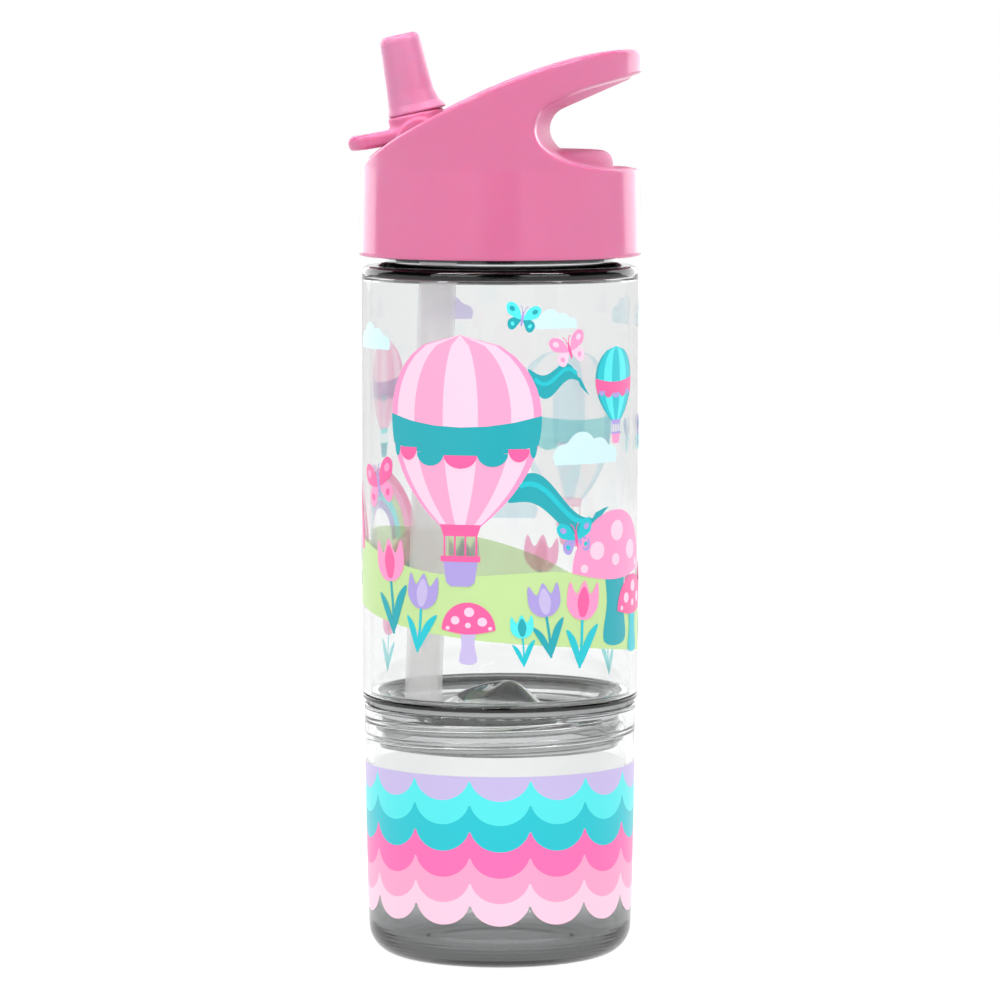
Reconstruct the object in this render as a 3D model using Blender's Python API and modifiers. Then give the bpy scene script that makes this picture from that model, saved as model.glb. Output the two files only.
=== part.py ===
"""A child's water bottle with a flip-up straw lid and a screw-on snack cup.

Metres, +Z up. The origin is on the bottle's axis, in the plane that the cup stands on. The spout
is on the -X side, the carrying hook on the +X side, and the lid is symmetric about the X-Z plane.
The spout is modelled open. Every screw thread is right-handed, so a piece turned about +Z rises.
"""

import math

import bmesh
import bpy
from mathutils import Matrix, Vector

# --- general ---------------------------------------------------------------------------------
SEGMENTS = 48                 # facets round each turned form
CLEARANCE = 0.0003            # between pieces that meet
EDGE_RADIUS = 0.0006          # small moulded edge
SHARP_ANGLE = math.radians(35)   # faces that meet at more than this are shaded with an edge
MERGE_DISTANCE = 0.000001
OVAL_POWER = 0.85             # below 1 the spout's oval sections are fuller than an ellipse

# --- screw threads (lid on neck, cup on collar) ----------------------------------------------
THREAD_PITCH = 0.0042
THREAD_HEIGHT = 0.0014
THREAD_ROOT_WIDTH = 0.0020
THREAD_CREST_WIDTH = 0.0011
THREAD_PLAY = 0.0006          # radial, crest to opposite wall
THREAD_SINK = 0.0004          # how deep a ridge is rooted in its wall
THREAD_RUN_OUT = math.radians(40)
THREAD_START_SHARE = 0.1      # of the full height, where a ridge runs out
NECK_THREAD_TURNS = 1.75
COLLAR_THREAD_TURNS = 1.4
THREAD_END = math.radians(-40)   # azimuth where each ridge ends, at its top

# --- snack cup -------------------------------------------------------------------------------
CUP_HEIGHT = 0.0642
CUP_TOP_INSET = 0.0004        # the cup's rim lies this far inside the bottle's wall line
CUP_TAPER = 0.0011            # loss of radius from the rim to the bottom corner
CUP_WALL = 0.0024
CUP_FLOOR = 0.0030
CUP_CORNER = 0.0095
CUP_INNER_CORNER = 0.0060
CUP_THREAD_DEPTH = 0.0140     # height of the straight threaded mouth
FOOT_RECESS_RADIUS = 0.0190
FOOT_RECESS_DEPTH = 0.0008
REBATE_WALL = 0.0016          # rim wall left beside the seal's rebate
REBATE_DEPTH = 0.0012
SEAL_THICKNESS = 0.0018

# --- bottle ----------------------------------------------------------------------------------
BOTTLE_RADIUS = 0.0350
BODY_WALL = 0.0020
BODY_HEIGHT = 0.1085          # from the body's lower edge to its shoulder
SHOULDER_CORNER = 0.0035
SHOULDER_RISE = 0.0009        # from the corner's top to the root of the neck
NECK_HEIGHT = 0.0176          # from the shoulder to the mouth
NECK_WALL = 0.0028
NECK_THREAD_DROP = 0.0045     # from the mouth down to the thread's upper end
FLANGE_THICKNESS = 0.0012
REGISTER_HEIGHT = 0.0016      # ring that centres the base inside the body's wall
REGISTER_WALL = 0.0018
COLLAR_LENGTH = 0.0126
COLLAR_WALL = 0.0020
COLLAR_THREAD_DROP = 0.0054   # from the flange down to the thread's upper end
FLOOR_SINK = 0.0020           # floor below the flange's upper face
FLOOR_THICKNESS = 0.0020
FLOOR_SLOPE_WIDTH = 0.0020
FLOOR_SLOPE_INSET = 0.0010    # from the collar's outer wall to the top of the floor's slope
DOME_RADIUS = 0.0120
DOME_HEIGHT = 0.0050

# --- lid -------------------------------------------------------------------------------------
CAP_OVERHANG = 0.0007         # the skirt's lower edge lies this far outside the bottle's wall
CAP_DRAFT = 0.0005            # loss of radius from the lower edge to the rim
HOOK_OVERHANG = 0.0013        # the hook's end lies this far outside the rim
CAP_GAP = 0.0024              # from the bottle's shoulder to the lid's lower edge
SKIRT_WALL = 0.0022
CAP_TOP_WALL = 0.0024
LINER_WALL = 0.0014
LINER_DISC = 0.0020
LINER_RECESS = 0.0012         # the liner ends this far above the skirt's lower edge
GASKET_THICKNESS = 0.0017
GASKET_WIDTH = 0.0044
HOOK_RISE = 0.0298            # from the rim to the hook's highest point
HOOK_TIP_RADIUS = 0.0034
HOOK_TIP_END = -55            # degrees, where the hook's round end meets its underside
HOOK_END_THICKNESS = 0.0073
HOOK_UNDER_ANGLE = math.radians(23.7)
SLOPE_FRONT_ANGLE = math.radians(77)
SLOPE_FRONT_PULL = 0.0055
SLOPE_END_ANGLE = math.radians(1.4)
SLOPE_END_PULL = 0.0243
OPENING_ROOT = 0.0126         # from the axis to the finger opening's root
OPENING_MIDDLE = 0.0097       # the root's height over the rim
OPENING_FOOT = 0.0320         # from the axis to where the opening's floor runs out level
OPENING_FLARE = 0.0043        # how much the root widens towards each side
OPENING_UPPER_FLARE = 0.0026
OPENING_REACH = 0.0422        # half the width of the cutter that makes the opening
DECK_RADIUS = 0.0286
DECK_HEIGHT = 0.0045
POCKET_ANGLE = 65             # degrees each side of +X, the hollow under the deck
CHANNEL_WIDTH = 0.0180
NOTCH_RISE = 0.0024           # from the rim to the floor of the channel's open front
CHANNEL_END_LOW = 10.5        # degrees below the folded spout, where the channel's round end starts
CHANNEL_END_HIGH = 25         # degrees above it, where that round end is open to the sky
CORE_INSET = 0.0055           # plastic left between the spout's channel and each cheek's core
CORE_ROOF = 0.0028
CORE_STEP = 0.0008            # each core lies this far inside the skirt's inner wall

# --- spout -----------------------------------------------------------------------------------
PIVOT_OFFSET = 0.0198         # from the bottle's axis to the spout's hinge
SPOUT_LEAN = math.radians(12)
SPOUT_TRAVEL = math.radians(75)
DRUM_RADIUS = 0.0060
DRUM_CLEARANCE = 0.0005       # from the drum to the channel's floor
TRUNNION_RADIUS = 0.0024
TRUNNION_LENGTH = 0.0030
STEM_FOOT = 0.0035            # heights along the spout from its hinge
STEM_TOP = 0.0075
STEM_HALF_LENGTH = 0.0071
STEM_HALF_WIDTH = 0.0082
NIPPLE_RADIUS = 0.0034
NIPPLE_TOP = 0.0160
SPOUT_BORE = 0.0022
SPOUT_LENGTH = 0.0278         # from the hinge to the mouthpiece's end
MOUTH_BORE = 0.0026
# the mouthpiece's sections: share of its height, reach behind and in front of its axis, half width
MOUTHPIECE = ((0.000, 0.0077, 0.0062, 0.0080), (0.035, 0.0074, 0.0060, 0.0079),
              (0.120, 0.0059, 0.0057, 0.0072), (0.270, 0.0050, 0.0056, 0.0068),
              (0.600, 0.0046, 0.0054, 0.0065), (0.900, 0.0044, 0.0051, 0.0062),
              (0.970, 0.0040, 0.0047, 0.0058), (1.000, 0.0030, 0.0038, 0.0049))
TAB_REACH = 0.0182            # from the hinge to the thumb tab's end
TAB_WIDTH = 0.0150
TAB_TOP = 0.0046
TAB_THICKNESS = 0.0034
TOWER_OFFSET = 0.0183         # from the bottle's axis to the spout's port
PORT_SEAL_RADIUS = 0.0046
PORT_SEAL_HEIGHT = 0.0033
TOWER_WALL = 0.0019
TOWER_HEIGHT = 0.0023

# --- straw and vent --------------------------------------------------------------------------
STRAW_RADIUS = 0.00475
STRAW_WALL = 0.0010
STRAW_TOP_OFFSET = 0.0150     # from the bottle's axis, at the liner
STRAW_FOOT_OFFSET = 0.0196    # from the bottle's axis, at the floor
STRAW_FLOOR_GAP = 0.0013
SPIGOT_LENGTH = 0.0100
SPIGOT_BORE = 0.0024
VENT_OFFSET = 0.0160
VENT_STEM_RADIUS = 0.0012
VENT_DISC_RADIUS = 0.0040
VENT_HOLE_RADIUS = 0.0008
VENT_CIRCLE_RADIUS = 0.0026
DECK_VENT_OFFSET = 0.0205
DECK_VENT_RADIUS = 0.0012

# --- levels and radii that follow ------------------------------------------------------------
CUP_TOP_RADIUS = BOTTLE_RADIUS - CUP_TOP_INSET
CUP_MOUTH_RADIUS = CUP_TOP_RADIUS - CUP_WALL
COLLAR_RADIUS = CUP_MOUTH_RADIUS - THREAD_HEIGHT - THREAD_PLAY
REBATE_RADIUS = CUP_TOP_RADIUS - REBATE_WALL
SEAL_Z = CUP_HEIGHT - REBATE_DEPTH + CLEARANCE
FLANGE_Z = SEAL_Z + SEAL_THICKNESS + CLEARANCE
FLANGE_TOP_Z = FLANGE_Z + FLANGE_THICKNESS
FLOOR_Z = FLANGE_TOP_Z - FLOOR_SINK
BODY_Z = FLANGE_TOP_Z + CLEARANCE
SHOULDER_Z = BODY_Z + BODY_HEIGHT
MOUTH_Z = SHOULDER_Z + NECK_HEIGHT
BODY_INNER_RADIUS = BOTTLE_RADIUS - BODY_WALL
CAP_Z = SHOULDER_Z + CAP_GAP
GASKET_Z = MOUTH_Z + CLEARANCE
LINER_DISC_Z = GASKET_Z + GASKET_THICKNESS + CLEARANCE
LINER_TOP_Z = LINER_DISC_Z + LINER_DISC
CAP_UNDERSIDE_Z = LINER_TOP_Z + CLEARANCE
RIM_Z = CAP_UNDERSIDE_Z + CAP_TOP_WALL
CAP_RADIUS = BOTTLE_RADIUS + CAP_OVERHANG
RIM_RADIUS = CAP_RADIUS - CAP_DRAFT
HOOK_RADIUS = RIM_RADIUS + HOOK_OVERHANG
HOOK_TOP_Z = RIM_Z + HOOK_RISE
CAP_INNER_RADIUS = CAP_RADIUS - SKIRT_WALL
LINER_RADIUS = CAP_INNER_RADIUS - CLEARANCE
LINER_INNER_RADIUS = LINER_RADIUS - LINER_WALL
NECK_RADIUS = LINER_INNER_RADIUS - THREAD_HEIGHT - THREAD_PLAY
NECK_INNER_RADIUS = NECK_RADIUS - NECK_WALL
PIVOT = Vector((-PIVOT_OFFSET, 0, RIM_Z + DRUM_CLEARANCE + DRUM_RADIUS))
STRAW_TOP_Z = LINER_DISC_Z - CLEARANCE
STRAW_FOOT_Z = FLOOR_Z + STRAW_FLOOR_GAP
STRAW_LEAN = math.atan2(STRAW_FOOT_OFFSET - STRAW_TOP_OFFSET, STRAW_TOP_Z - STRAW_FOOT_Z)
TOWER_TOP_Z = LINER_TOP_Z + TOWER_HEIGHT
FAR = 0.060                   # reach of a cutter that runs past the lid


# --- scene and materials ---------------------------------------------------------------------
def clear_scene():
    for obj in list(bpy.data.objects):
        bpy.data.objects.remove(obj, do_unlink=True)


def new_collection(name):
    collection = bpy.data.collections.new(name)
    bpy.context.scene.collection.children.link(collection)
    return collection


def plastic(name, colour, roughness, alpha=1.0, transmission=0.0):
    """A moulded plastic or rubber; nothing on this bottle is metal."""
    material = bpy.data.materials.new(name)
    material.use_nodes = True
    shader = material.node_tree.nodes["Principled BSDF"]
    shader.inputs["Base Color"].default_value = (*colour, 1)
    shader.inputs["Roughness"].default_value = roughness
    shader.inputs["Metallic"].default_value = 0.0
    shader.inputs["Alpha"].default_value = alpha
    shader.inputs["Transmission Weight"].default_value = transmission
    return material


def add_object(name, mesh, collection, material=None):
    obj = bpy.data.objects.new(name, mesh)
    collection.objects.link(obj)
    if material is None:
        obj.hide_render = True
        obj.display_type = "WIRE"
    else:
        mesh.materials.append(material)
        mesh.shade_smooth()
        mesh.set_sharp_from_angle(angle=SHARP_ANGLE)
    return obj


def mesh_from_bmesh(name, bm):
    bmesh.ops.recalc_face_normals(bm, faces=bm.faces)
    mesh = bpy.data.meshes.new(name)
    bm.to_mesh(mesh)
    bm.free()
    return mesh


# --- shapes ----------------------------------------------------------------------------------
def arc(centre, radius, start, end, steps=5):
    """Points on a circle in a profile's plane, from one angle in degrees to another."""
    angles = [math.radians(start + (end - start) * i / steps) for i in range(steps + 1)]
    return [(centre[0] + radius * math.cos(a), centre[1] + radius * math.sin(a)) for a in angles]


def turned(name, profile, collection, material=None, ring=False):
    """A Screw of a profile of (radius, height) points that run down the outer side.

    ring joins the last point to the first, for a form that doesn't reach the axis.
    """
    bm = bmesh.new()
    verts = [bm.verts.new((radius, 0, height)) for radius, height in profile]
    for a, b in zip(verts, verts[1:] + verts[:1] if ring else verts[1:]):
        bm.edges.new((a, b))
    mesh = bpy.data.meshes.new(name)
    bm.to_mesh(mesh)
    bm.free()
    obj = add_object(name, mesh, collection, material)
    screw = obj.modifiers.new("Turn", "SCREW")
    screw.steps = SEGMENTS
    screw.render_steps = SEGMENTS
    screw.use_merge_vertices = True
    screw.merge_threshold = MERGE_DISTANCE
    screw.use_smooth_shade = material is not None
    return obj


def cylinder(name, radius, length, matrix, collection, segments=24):
    """A hidden cylinder along its own Z, centred where the matrix puts it."""
    bm = bmesh.new()
    bmesh.ops.create_cone(bm, cap_ends=True, segments=segments, radius1=radius, radius2=radius,
                          depth=length, matrix=matrix)
    return add_object(name, mesh_from_bmesh(name, bm), collection)


def upright(x, low, high):
    """The matrix of an upright cylinder that stands at x, y = 0, between two heights."""
    return Matrix.Translation((x, 0, (low + high) / 2))


def prism(name, outline, low, high, collection, across=True):
    """A filled 2D curve with thickness: across runs an X-Z outline along Y, else X-Y along Z."""
    curve = bpy.data.curves.new(name, "CURVE")
    curve.dimensions = "2D"
    curve.fill_mode = "BOTH"
    curve.extrude = (high - low) / 2
    spline = curve.splines.new("POLY")
    spline.points.add(len(outline) - 1)
    for point, (u, v) in zip(spline.points, outline):
        point.co = (u, v, 0, 1)
    spline.use_cyclic_u = True
    guide = bpy.data.objects.new(name + "_outline", curve)
    collection.objects.link(guide)
    turn = Matrix.Rotation(math.radians(90), 4, "X") if across else Matrix.Identity(4)
    offset = (low + high) / 2
    guide.matrix_world = Matrix.Translation((0, offset, 0) if across else (0, 0, offset)) @ turn
    bpy.context.view_layer.update()
    mesh = bpy.data.meshes.new_from_object(guide.evaluated_get(bpy.context.evaluated_depsgraph_get()))
    matrix = guide.matrix_world.copy()
    bpy.data.objects.remove(guide, do_unlink=True)
    bm = bmesh.new()
    bm.from_mesh(mesh)
    bmesh.ops.remove_doubles(bm, verts=bm.verts, dist=MERGE_DISTANCE)
    obj = add_object(name, mesh_from_bmesh(name, bm), collection)
    obj.matrix_world = matrix
    return obj


def loft(name, rings, collection, material=None):
    """A closed skin over rings of points that change shape from one to the next."""
    bm = bmesh.new()
    rows = [[bm.verts.new(point) for point in ring] for ring in rings]
    for lower, upper in zip(rows, rows[1:]):
        for i in range(len(lower)):
            j = (i + 1) % len(lower)
            bm.faces.new((lower[i], lower[j], upper[j], upper[i]))
    bm.faces.new(rows[0])
    bm.faces.new(rows[-1])
    return add_object(name, mesh_from_bmesh(name, bm), collection, material)


def oval(back, front, half_width, height, segments=24):
    """A rounded ring across the spout, from x = -front to x = back."""
    middle, half_length = (back - front) / 2, (back + front) / 2
    ring = []
    for i in range(segments):
        a = 2 * math.pi * i / segments
        c, s = math.cos(a), math.sin(a)
        x = middle + half_length * math.copysign(abs(c) ** OVAL_POWER, c)
        ring.append((x, half_width * math.copysign(abs(s) ** OVAL_POWER, s), height))
    return ring


def helix_ridge(name, wall, crest, top, turns, collection):
    """One thread ridge whose centre line ends at height top, with a tapered run-out at each end."""
    steps = round(turns * SEGMENTS)
    root = wall - math.copysign(THREAD_SINK, crest - wall)
    rings = []
    for i in range(steps + 1):
        turned_by = 2 * math.pi * turns * i / steps
        ahead = 2 * math.pi * turns - turned_by
        grown = min(1.0, min(turned_by, ahead) / THREAD_RUN_OUT)
        share = THREAD_START_SHARE + (1 - THREAD_START_SHARE) * grown
        radius = wall + (crest - wall) * share
        height = top - THREAD_PITCH * ahead / (2 * math.pi)
        section = ((root, -THREAD_ROOT_WIDTH), (radius, -THREAD_CREST_WIDTH),
                   (radius, THREAD_CREST_WIDTH), (root, THREAD_ROOT_WIDTH))
        azimuth = THREAD_END - ahead
        rings.append([(r * math.cos(azimuth), r * math.sin(azimuth), height + w / 2)
                      for r, w in section])
    return loft(name, rings, collection)


def boolean(obj, operation, *others):
    for other in others:
        modifier = obj.modifiers.new(other.name, "BOOLEAN")
        modifier.operation = operation
        modifier.object = other
        modifier.solver = "EXACT"


def bezier(p0, p1, p2, p3, steps):
    points = []
    for i in range(steps + 1):
        t = i / steps
        a, b, c, d = (1 - t) ** 3, 3 * (1 - t) ** 2 * t, 3 * (1 - t) * t * t, t ** 3
        points.append(tuple(a * u + b * v + c * w + d * q for u, v, w, q in zip(p0, p1, p2, p3)))
    return points


# --- snack cup and its seal ------------------------------------------------------------------
def flank_offset():
    """Height between a ridge's centre line and its partner's, with their flanks a clearance apart."""
    taper = THREAD_ROOT_WIDTH - THREAD_CREST_WIDTH
    both_widths = 2 * THREAD_ROOT_WIDTH - taper * (1 + THREAD_PLAY / THREAD_HEIGHT)
    return both_widths / 2 + CLEARANCE


def build_cup(parts, helpers, material):
    low_radius = CUP_TOP_RADIUS - CUP_TAPER
    mouth_foot = CUP_HEIGHT - CUP_THREAD_DEPTH
    inner_low = low_radius - CUP_WALL
    outer = arc((CUP_TOP_RADIUS - EDGE_RADIUS, CUP_HEIGHT - EDGE_RADIUS), EDGE_RADIUS, 90, 0, 3)
    outer += arc((low_radius - CUP_CORNER, CUP_CORNER), CUP_CORNER, 0, -90, 6)
    outer += [(FOOT_RECESS_RADIUS, 0), (FOOT_RECESS_RADIUS - FOOT_RECESS_DEPTH, FOOT_RECESS_DEPTH),
              (0, FOOT_RECESS_DEPTH)]
    inner = [(0, CUP_FLOOR)]
    inner += arc((inner_low - CUP_INNER_CORNER, CUP_FLOOR + CUP_INNER_CORNER), CUP_INNER_CORNER,
                 -90, 0, 5)
    inner += [(CUP_MOUTH_RADIUS, mouth_foot), (CUP_MOUTH_RADIUS, CUP_HEIGHT - REBATE_DEPTH),
              (REBATE_RADIUS, CUP_HEIGHT - REBATE_DEPTH), (REBATE_RADIUS, CUP_HEIGHT)]
    cup = turned("snack_cup", inner + outer, parts, material)
    top = FLANGE_Z - COLLAR_THREAD_DROP + flank_offset()
    ridge = helix_ridge("cup_thread", CUP_MOUTH_RADIUS, CUP_MOUTH_RADIUS - THREAD_HEIGHT, top,
                        COLLAR_THREAD_TURNS, helpers)
    boolean(cup, "UNION", ridge)


def build_cup_seal(parts, material):
    outer, inner = REBATE_RADIUS - CLEARANCE, COLLAR_RADIUS + CLEARANCE
    top = SEAL_Z + SEAL_THICKNESS
    turned("cup_seal", [(inner, top), (outer, top), (outer, SEAL_Z), (inner, SEAL_Z)],
           parts, material, ring=True)


# --- bottle ----------------------------------------------------------------------------------
def build_bottle_body(parts, helpers, material):
    corner = (BOTTLE_RADIUS - SHOULDER_CORNER, SHOULDER_Z - SHOULDER_CORNER)
    neck_root = SHOULDER_Z + SHOULDER_RISE
    inner_corner = SHOULDER_CORNER - BODY_WALL / 2
    inner_shoulder = SHOULDER_Z - BODY_WALL
    profile = [(NECK_RADIUS - EDGE_RADIUS, MOUTH_Z), (NECK_RADIUS, MOUTH_Z - EDGE_RADIUS),
               (NECK_RADIUS, neck_root)]
    profile += arc(corner, SHOULDER_CORNER, 90, 0, 5)
    profile += [(BOTTLE_RADIUS, BODY_Z), (BODY_INNER_RADIUS, BODY_Z)]
    profile += arc((BODY_INNER_RADIUS - inner_corner, inner_shoulder - inner_corner), inner_corner,
                   0, 90, 4)
    profile += [(NECK_INNER_RADIUS, neck_root - BODY_WALL), (NECK_INNER_RADIUS, MOUTH_Z)]
    body = turned("bottle_body", profile, parts, material, ring=True)
    ridge = helix_ridge("neck_thread", NECK_RADIUS, NECK_RADIUS + THREAD_HEIGHT,
                        MOUTH_Z - NECK_THREAD_DROP, NECK_THREAD_TURNS, helpers)
    boolean(body, "UNION", ridge)


def dome(radius, base, height, steps=5):
    """Points over a low dome, from its peak on the axis out to its foot."""
    points = []
    for i in range(steps):
        a = math.pi * i / steps
        points.append((radius * i / steps, base + height * (1 + math.cos(a)) / 2))
    return points + [(radius, base)]


def build_bottle_base(parts, helpers, material):
    slope_top = COLLAR_RADIUS - FLOOR_SLOPE_INSET
    register = BODY_INNER_RADIUS - CLEARANCE
    register_top = FLANGE_TOP_Z + REGISTER_HEIGHT
    collar_inner = COLLAR_RADIUS - COLLAR_WALL
    foot = FLANGE_Z - COLLAR_LENGTH
    under = FLOOR_Z - FLOOR_THICKNESS
    profile = dome(DOME_RADIUS, FLOOR_Z, DOME_HEIGHT)
    profile += [(slope_top - FLOOR_SLOPE_WIDTH, FLOOR_Z), (slope_top, FLANGE_TOP_Z),
                (register - REGISTER_WALL, FLANGE_TOP_Z), (register - REGISTER_WALL, register_top),
                (register, register_top), (register, FLANGE_TOP_Z), (BOTTLE_RADIUS, FLANGE_TOP_Z),
                (BOTTLE_RADIUS, FLANGE_Z), (COLLAR_RADIUS, FLANGE_Z), (COLLAR_RADIUS, foot),
                (collar_inner, foot), (collar_inner, under)]
    profile += reversed(dome(DOME_RADIUS, under, DOME_HEIGHT))
    base = turned("bottle_base", profile, parts, material)
    ridge = helix_ridge("collar_thread", COLLAR_RADIUS, COLLAR_RADIUS + THREAD_HEIGHT,
                        FLANGE_Z - COLLAR_THREAD_DROP, COLLAR_THREAD_TURNS, helpers)
    boolean(base, "UNION", ridge)


# --- lid -------------------------------------------------------------------------------------
def hump_outline():
    """The lid's side view above its rim: the long slope, the hook's round end and its underside."""
    front = (-RIM_RADIUS, RIM_Z)
    end = (HOOK_RADIUS - HOOK_TIP_RADIUS, HOOK_TOP_Z)
    leave = (front[0] + SLOPE_FRONT_PULL * math.cos(SLOPE_FRONT_ANGLE),
             front[1] + SLOPE_FRONT_PULL * math.sin(SLOPE_FRONT_ANGLE))
    arrive = (end[0] - SLOPE_END_PULL * math.cos(SLOPE_END_ANGLE),
              end[1] - SLOPE_END_PULL * math.sin(SLOPE_END_ANGLE))
    slope = bezier(front, leave, arrive, end, 16)
    tip = arc((end[0], HOOK_TOP_Z - HOOK_TIP_RADIUS), HOOK_TIP_RADIUS, 90, HOOK_TIP_END, 7)[1:]
    return slope, tip


def opening_section(y):
    """The finger opening's X-Z outline at a distance y from the lid's middle plane."""
    share = (y / RIM_RADIUS) ** 2
    root = OPENING_ROOT - OPENING_FLARE * share
    middle = RIM_Z + OPENING_MIDDLE
    sine, cosine = math.sin(HOOK_UNDER_ANGLE), math.cos(HOOK_UNDER_ANGLE)
    line_x = HOOK_RADIUS - HOOK_TIP_RADIUS
    line_z = HOOK_TOP_Z - HOOK_END_THICKNESS + OPENING_UPPER_FLARE * share
    rise = line_z - middle
    corner = ((line_x - root) * -sine + rise * cosine) / (1 - sine)
    centre = (root + corner, middle)
    points = [(FAR, line_z + (FAR - line_x) * sine / cosine)]
    points += arc(centre, corner, 90 + math.degrees(HOOK_UNDER_ANGLE), 180, 5)
    for i in range(1, 9):
        a = math.radians(180 + 90 * i / 8)
        points.append((OPENING_FOOT + (OPENING_FOOT - root) * math.cos(a),
                       middle + OPENING_MIDDLE * math.sin(a)))
    points.append((FAR, RIM_Z))
    return [(x, y, z) for x, z in points]


def closed_point(along, below):
    """A point beside the folded spout: its distance along the spout and below its axis, as (x, z)."""
    turn = SPOUT_TRAVEL - SPOUT_LEAN
    return (PIVOT.x + along * math.sin(turn) + below * math.cos(turn),
            PIVOT.z + along * math.cos(turn) - below * math.sin(turn))


def channel_outline():
    """The X-Z outline that the spout sweeps: open at the front, round behind the mouthpiece."""
    notch = RIM_Z + NOTCH_RISE
    sweep = SPOUT_LENGTH + 2 * DRUM_CLEARANCE
    behind = math.degrees(SPOUT_LEAN) + 90 - math.degrees(SPOUT_TRAVEL)
    clear = 2 * DRUM_CLEARANCE
    outline = [(-FAR, notch), (PIVOT.x - DRUM_RADIUS - 3 * clear, notch),
               (PIVOT.x - DRUM_RADIUS - clear, RIM_Z),
               (closed_point(STEM_TOP, STEM_HALF_LENGTH + 2 * clear)[0], RIM_Z),
               closed_point(STEM_TOP - clear, STEM_HALF_LENGTH + 2 * clear - EDGE_RADIUS),
               closed_point(STEM_TOP + clear, STEM_HALF_LENGTH + 2 * clear - EDGE_RADIUS),
               closed_point(SPOUT_LENGTH / 2, DRUM_RADIUS - DRUM_CLEARANCE)]
    outline += arc((PIVOT.x, PIVOT.z), sweep, behind - CHANNEL_END_LOW, behind + CHANNEL_END_HIGH, 6)
    outline += [(outline[-1][0], RIM_Z + FAR), (-FAR, RIM_Z + FAR)]
    return outline


def build_cheek_core(side, helpers):
    """The hollow moulded up into one cheek beside the spout's channel."""
    slope, _ = hump_outline()
    near = CHANNEL_WIDTH / 2 + CORE_INSET
    roof = [(x, z - CORE_ROOF) for x, z in slope if -CAP_INNER_RADIUS < x < OPENING_ROOT / 2]
    outline = [(roof[0][0], LINER_TOP_Z), *roof, (roof[-1][0], LINER_TOP_Z)]
    low, high = sorted((side * near, side * FAR))
    core = prism(f"cheek_core_{'right' if side > 0 else 'left'}", outline, low, high, helpers)
    bound = cylinder(core.name + "_bound", CAP_INNER_RADIUS - CORE_STEP, 2 * FAR,
                     upright(0, RIM_Z - FAR, RIM_Z + FAR), helpers, SEGMENTS)
    boolean(core, "INTERSECT", bound)
    return core


def build_cap_shell(parts, helpers, material):
    slope, tip = hump_outline()
    shell = turned("cap_shell", [(0, HOOK_TOP_Z + EDGE_RADIUS), (HOOK_RADIUS, HOOK_TOP_Z + EDGE_RADIUS),
                                 (HOOK_RADIUS, HOOK_TOP_Z - HOOK_TIP_RADIUS), (RIM_RADIUS, RIM_Z),
                                 (CAP_RADIUS, CAP_Z + EDGE_RADIUS), (CAP_RADIUS - EDGE_RADIUS, CAP_Z),
                                 (0, CAP_Z)], parts, material)
    inside = (HOOK_RADIUS - HOOK_TIP_RADIUS, RIM_Z + DECK_HEIGHT)
    outline = slope + tip + [(inside[0], tip[-1][1] - EDGE_RADIUS), inside, (FAR, inside[1]),
                             (FAR, CAP_Z - FAR), (-FAR, CAP_Z - FAR), (-FAR, RIM_Z)]
    boolean(shell, "INTERSECT", prism("side_view", outline, -FAR, FAR, helpers))
    sections = [opening_section(OPENING_REACH * i / 6) for i in range(-6, 7)]
    boolean(shell, "DIFFERENCE", loft("finger_opening", sections, helpers))
    edge = DECK_HEIGHT - CLEARANCE
    deck = [(0, RIM_Z + DECK_HEIGHT)]
    deck += arc((DECK_RADIUS - edge, RIM_Z + DECK_HEIGHT - edge), edge, 90, 0, 5)
    deck += [(DECK_RADIUS, CAP_UNDERSIDE_Z + EDGE_RADIUS), (0, CAP_UNDERSIDE_Z + EDGE_RADIUS)]
    boolean(shell, "UNION", turned("deck", deck, helpers))
    cavity = cylinder("skirt_cavity", CAP_INNER_RADIUS, CAP_UNDERSIDE_Z - CAP_Z + EDGE_RADIUS,
                      upright(0, CAP_Z - EDGE_RADIUS, CAP_UNDERSIDE_Z), helpers, SEGMENTS)
    half = CHANNEL_WIDTH / 2
    channel = prism("spout_channel", channel_outline(), -half, half, helpers)
    pocket_plan = arc((0, 0), DECK_RADIUS - SKIRT_WALL, -POCKET_ANGLE, POCKET_ANGLE, 12)
    pocket = prism("deck_pocket", pocket_plan, LINER_TOP_Z, RIM_Z + DECK_HEIGHT - CAP_TOP_WALL, helpers,
                   across=False)
    vent = cylinder("deck_vent", DECK_VENT_RADIUS, DECK_HEIGHT * 2,
                    upright(DECK_VENT_OFFSET, RIM_Z, RIM_Z + 2 * DECK_HEIGHT), helpers, 12)
    aperture = cylinder("tower_aperture", PORT_SEAL_RADIUS + CLEARANCE + TOWER_WALL + CLEARANCE,
                        2 * DECK_HEIGHT, upright(-TOWER_OFFSET, LINER_DISC_Z, LINER_DISC_Z + 2 * DECK_HEIGHT),
                        helpers)
    socket_length = CHANNEL_WIDTH + 2 * (TRUNNION_LENGTH + CLEARANCE)
    sockets = cylinder("trunnion_sockets", TRUNNION_RADIUS + CLEARANCE, socket_length,
                       Matrix.Translation(PIVOT) @ Matrix.Rotation(math.radians(90), 4, "X"), helpers)
    boolean(shell, "DIFFERENCE", cavity, channel, build_cheek_core(-1, helpers),
            build_cheek_core(1, helpers), pocket, vent, aperture, sockets)


def straw_matrix(distance):
    """The straw's own frame, that far down its axis from where it meets the liner."""
    down = Vector((-math.sin(STRAW_LEAN), 0, -math.cos(STRAW_LEAN)))
    top = Vector((-STRAW_TOP_OFFSET, 0, STRAW_TOP_Z))
    return Matrix.Translation(top + distance * down) @ Matrix.Rotation(STRAW_LEAN, 4, "Y")


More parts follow.
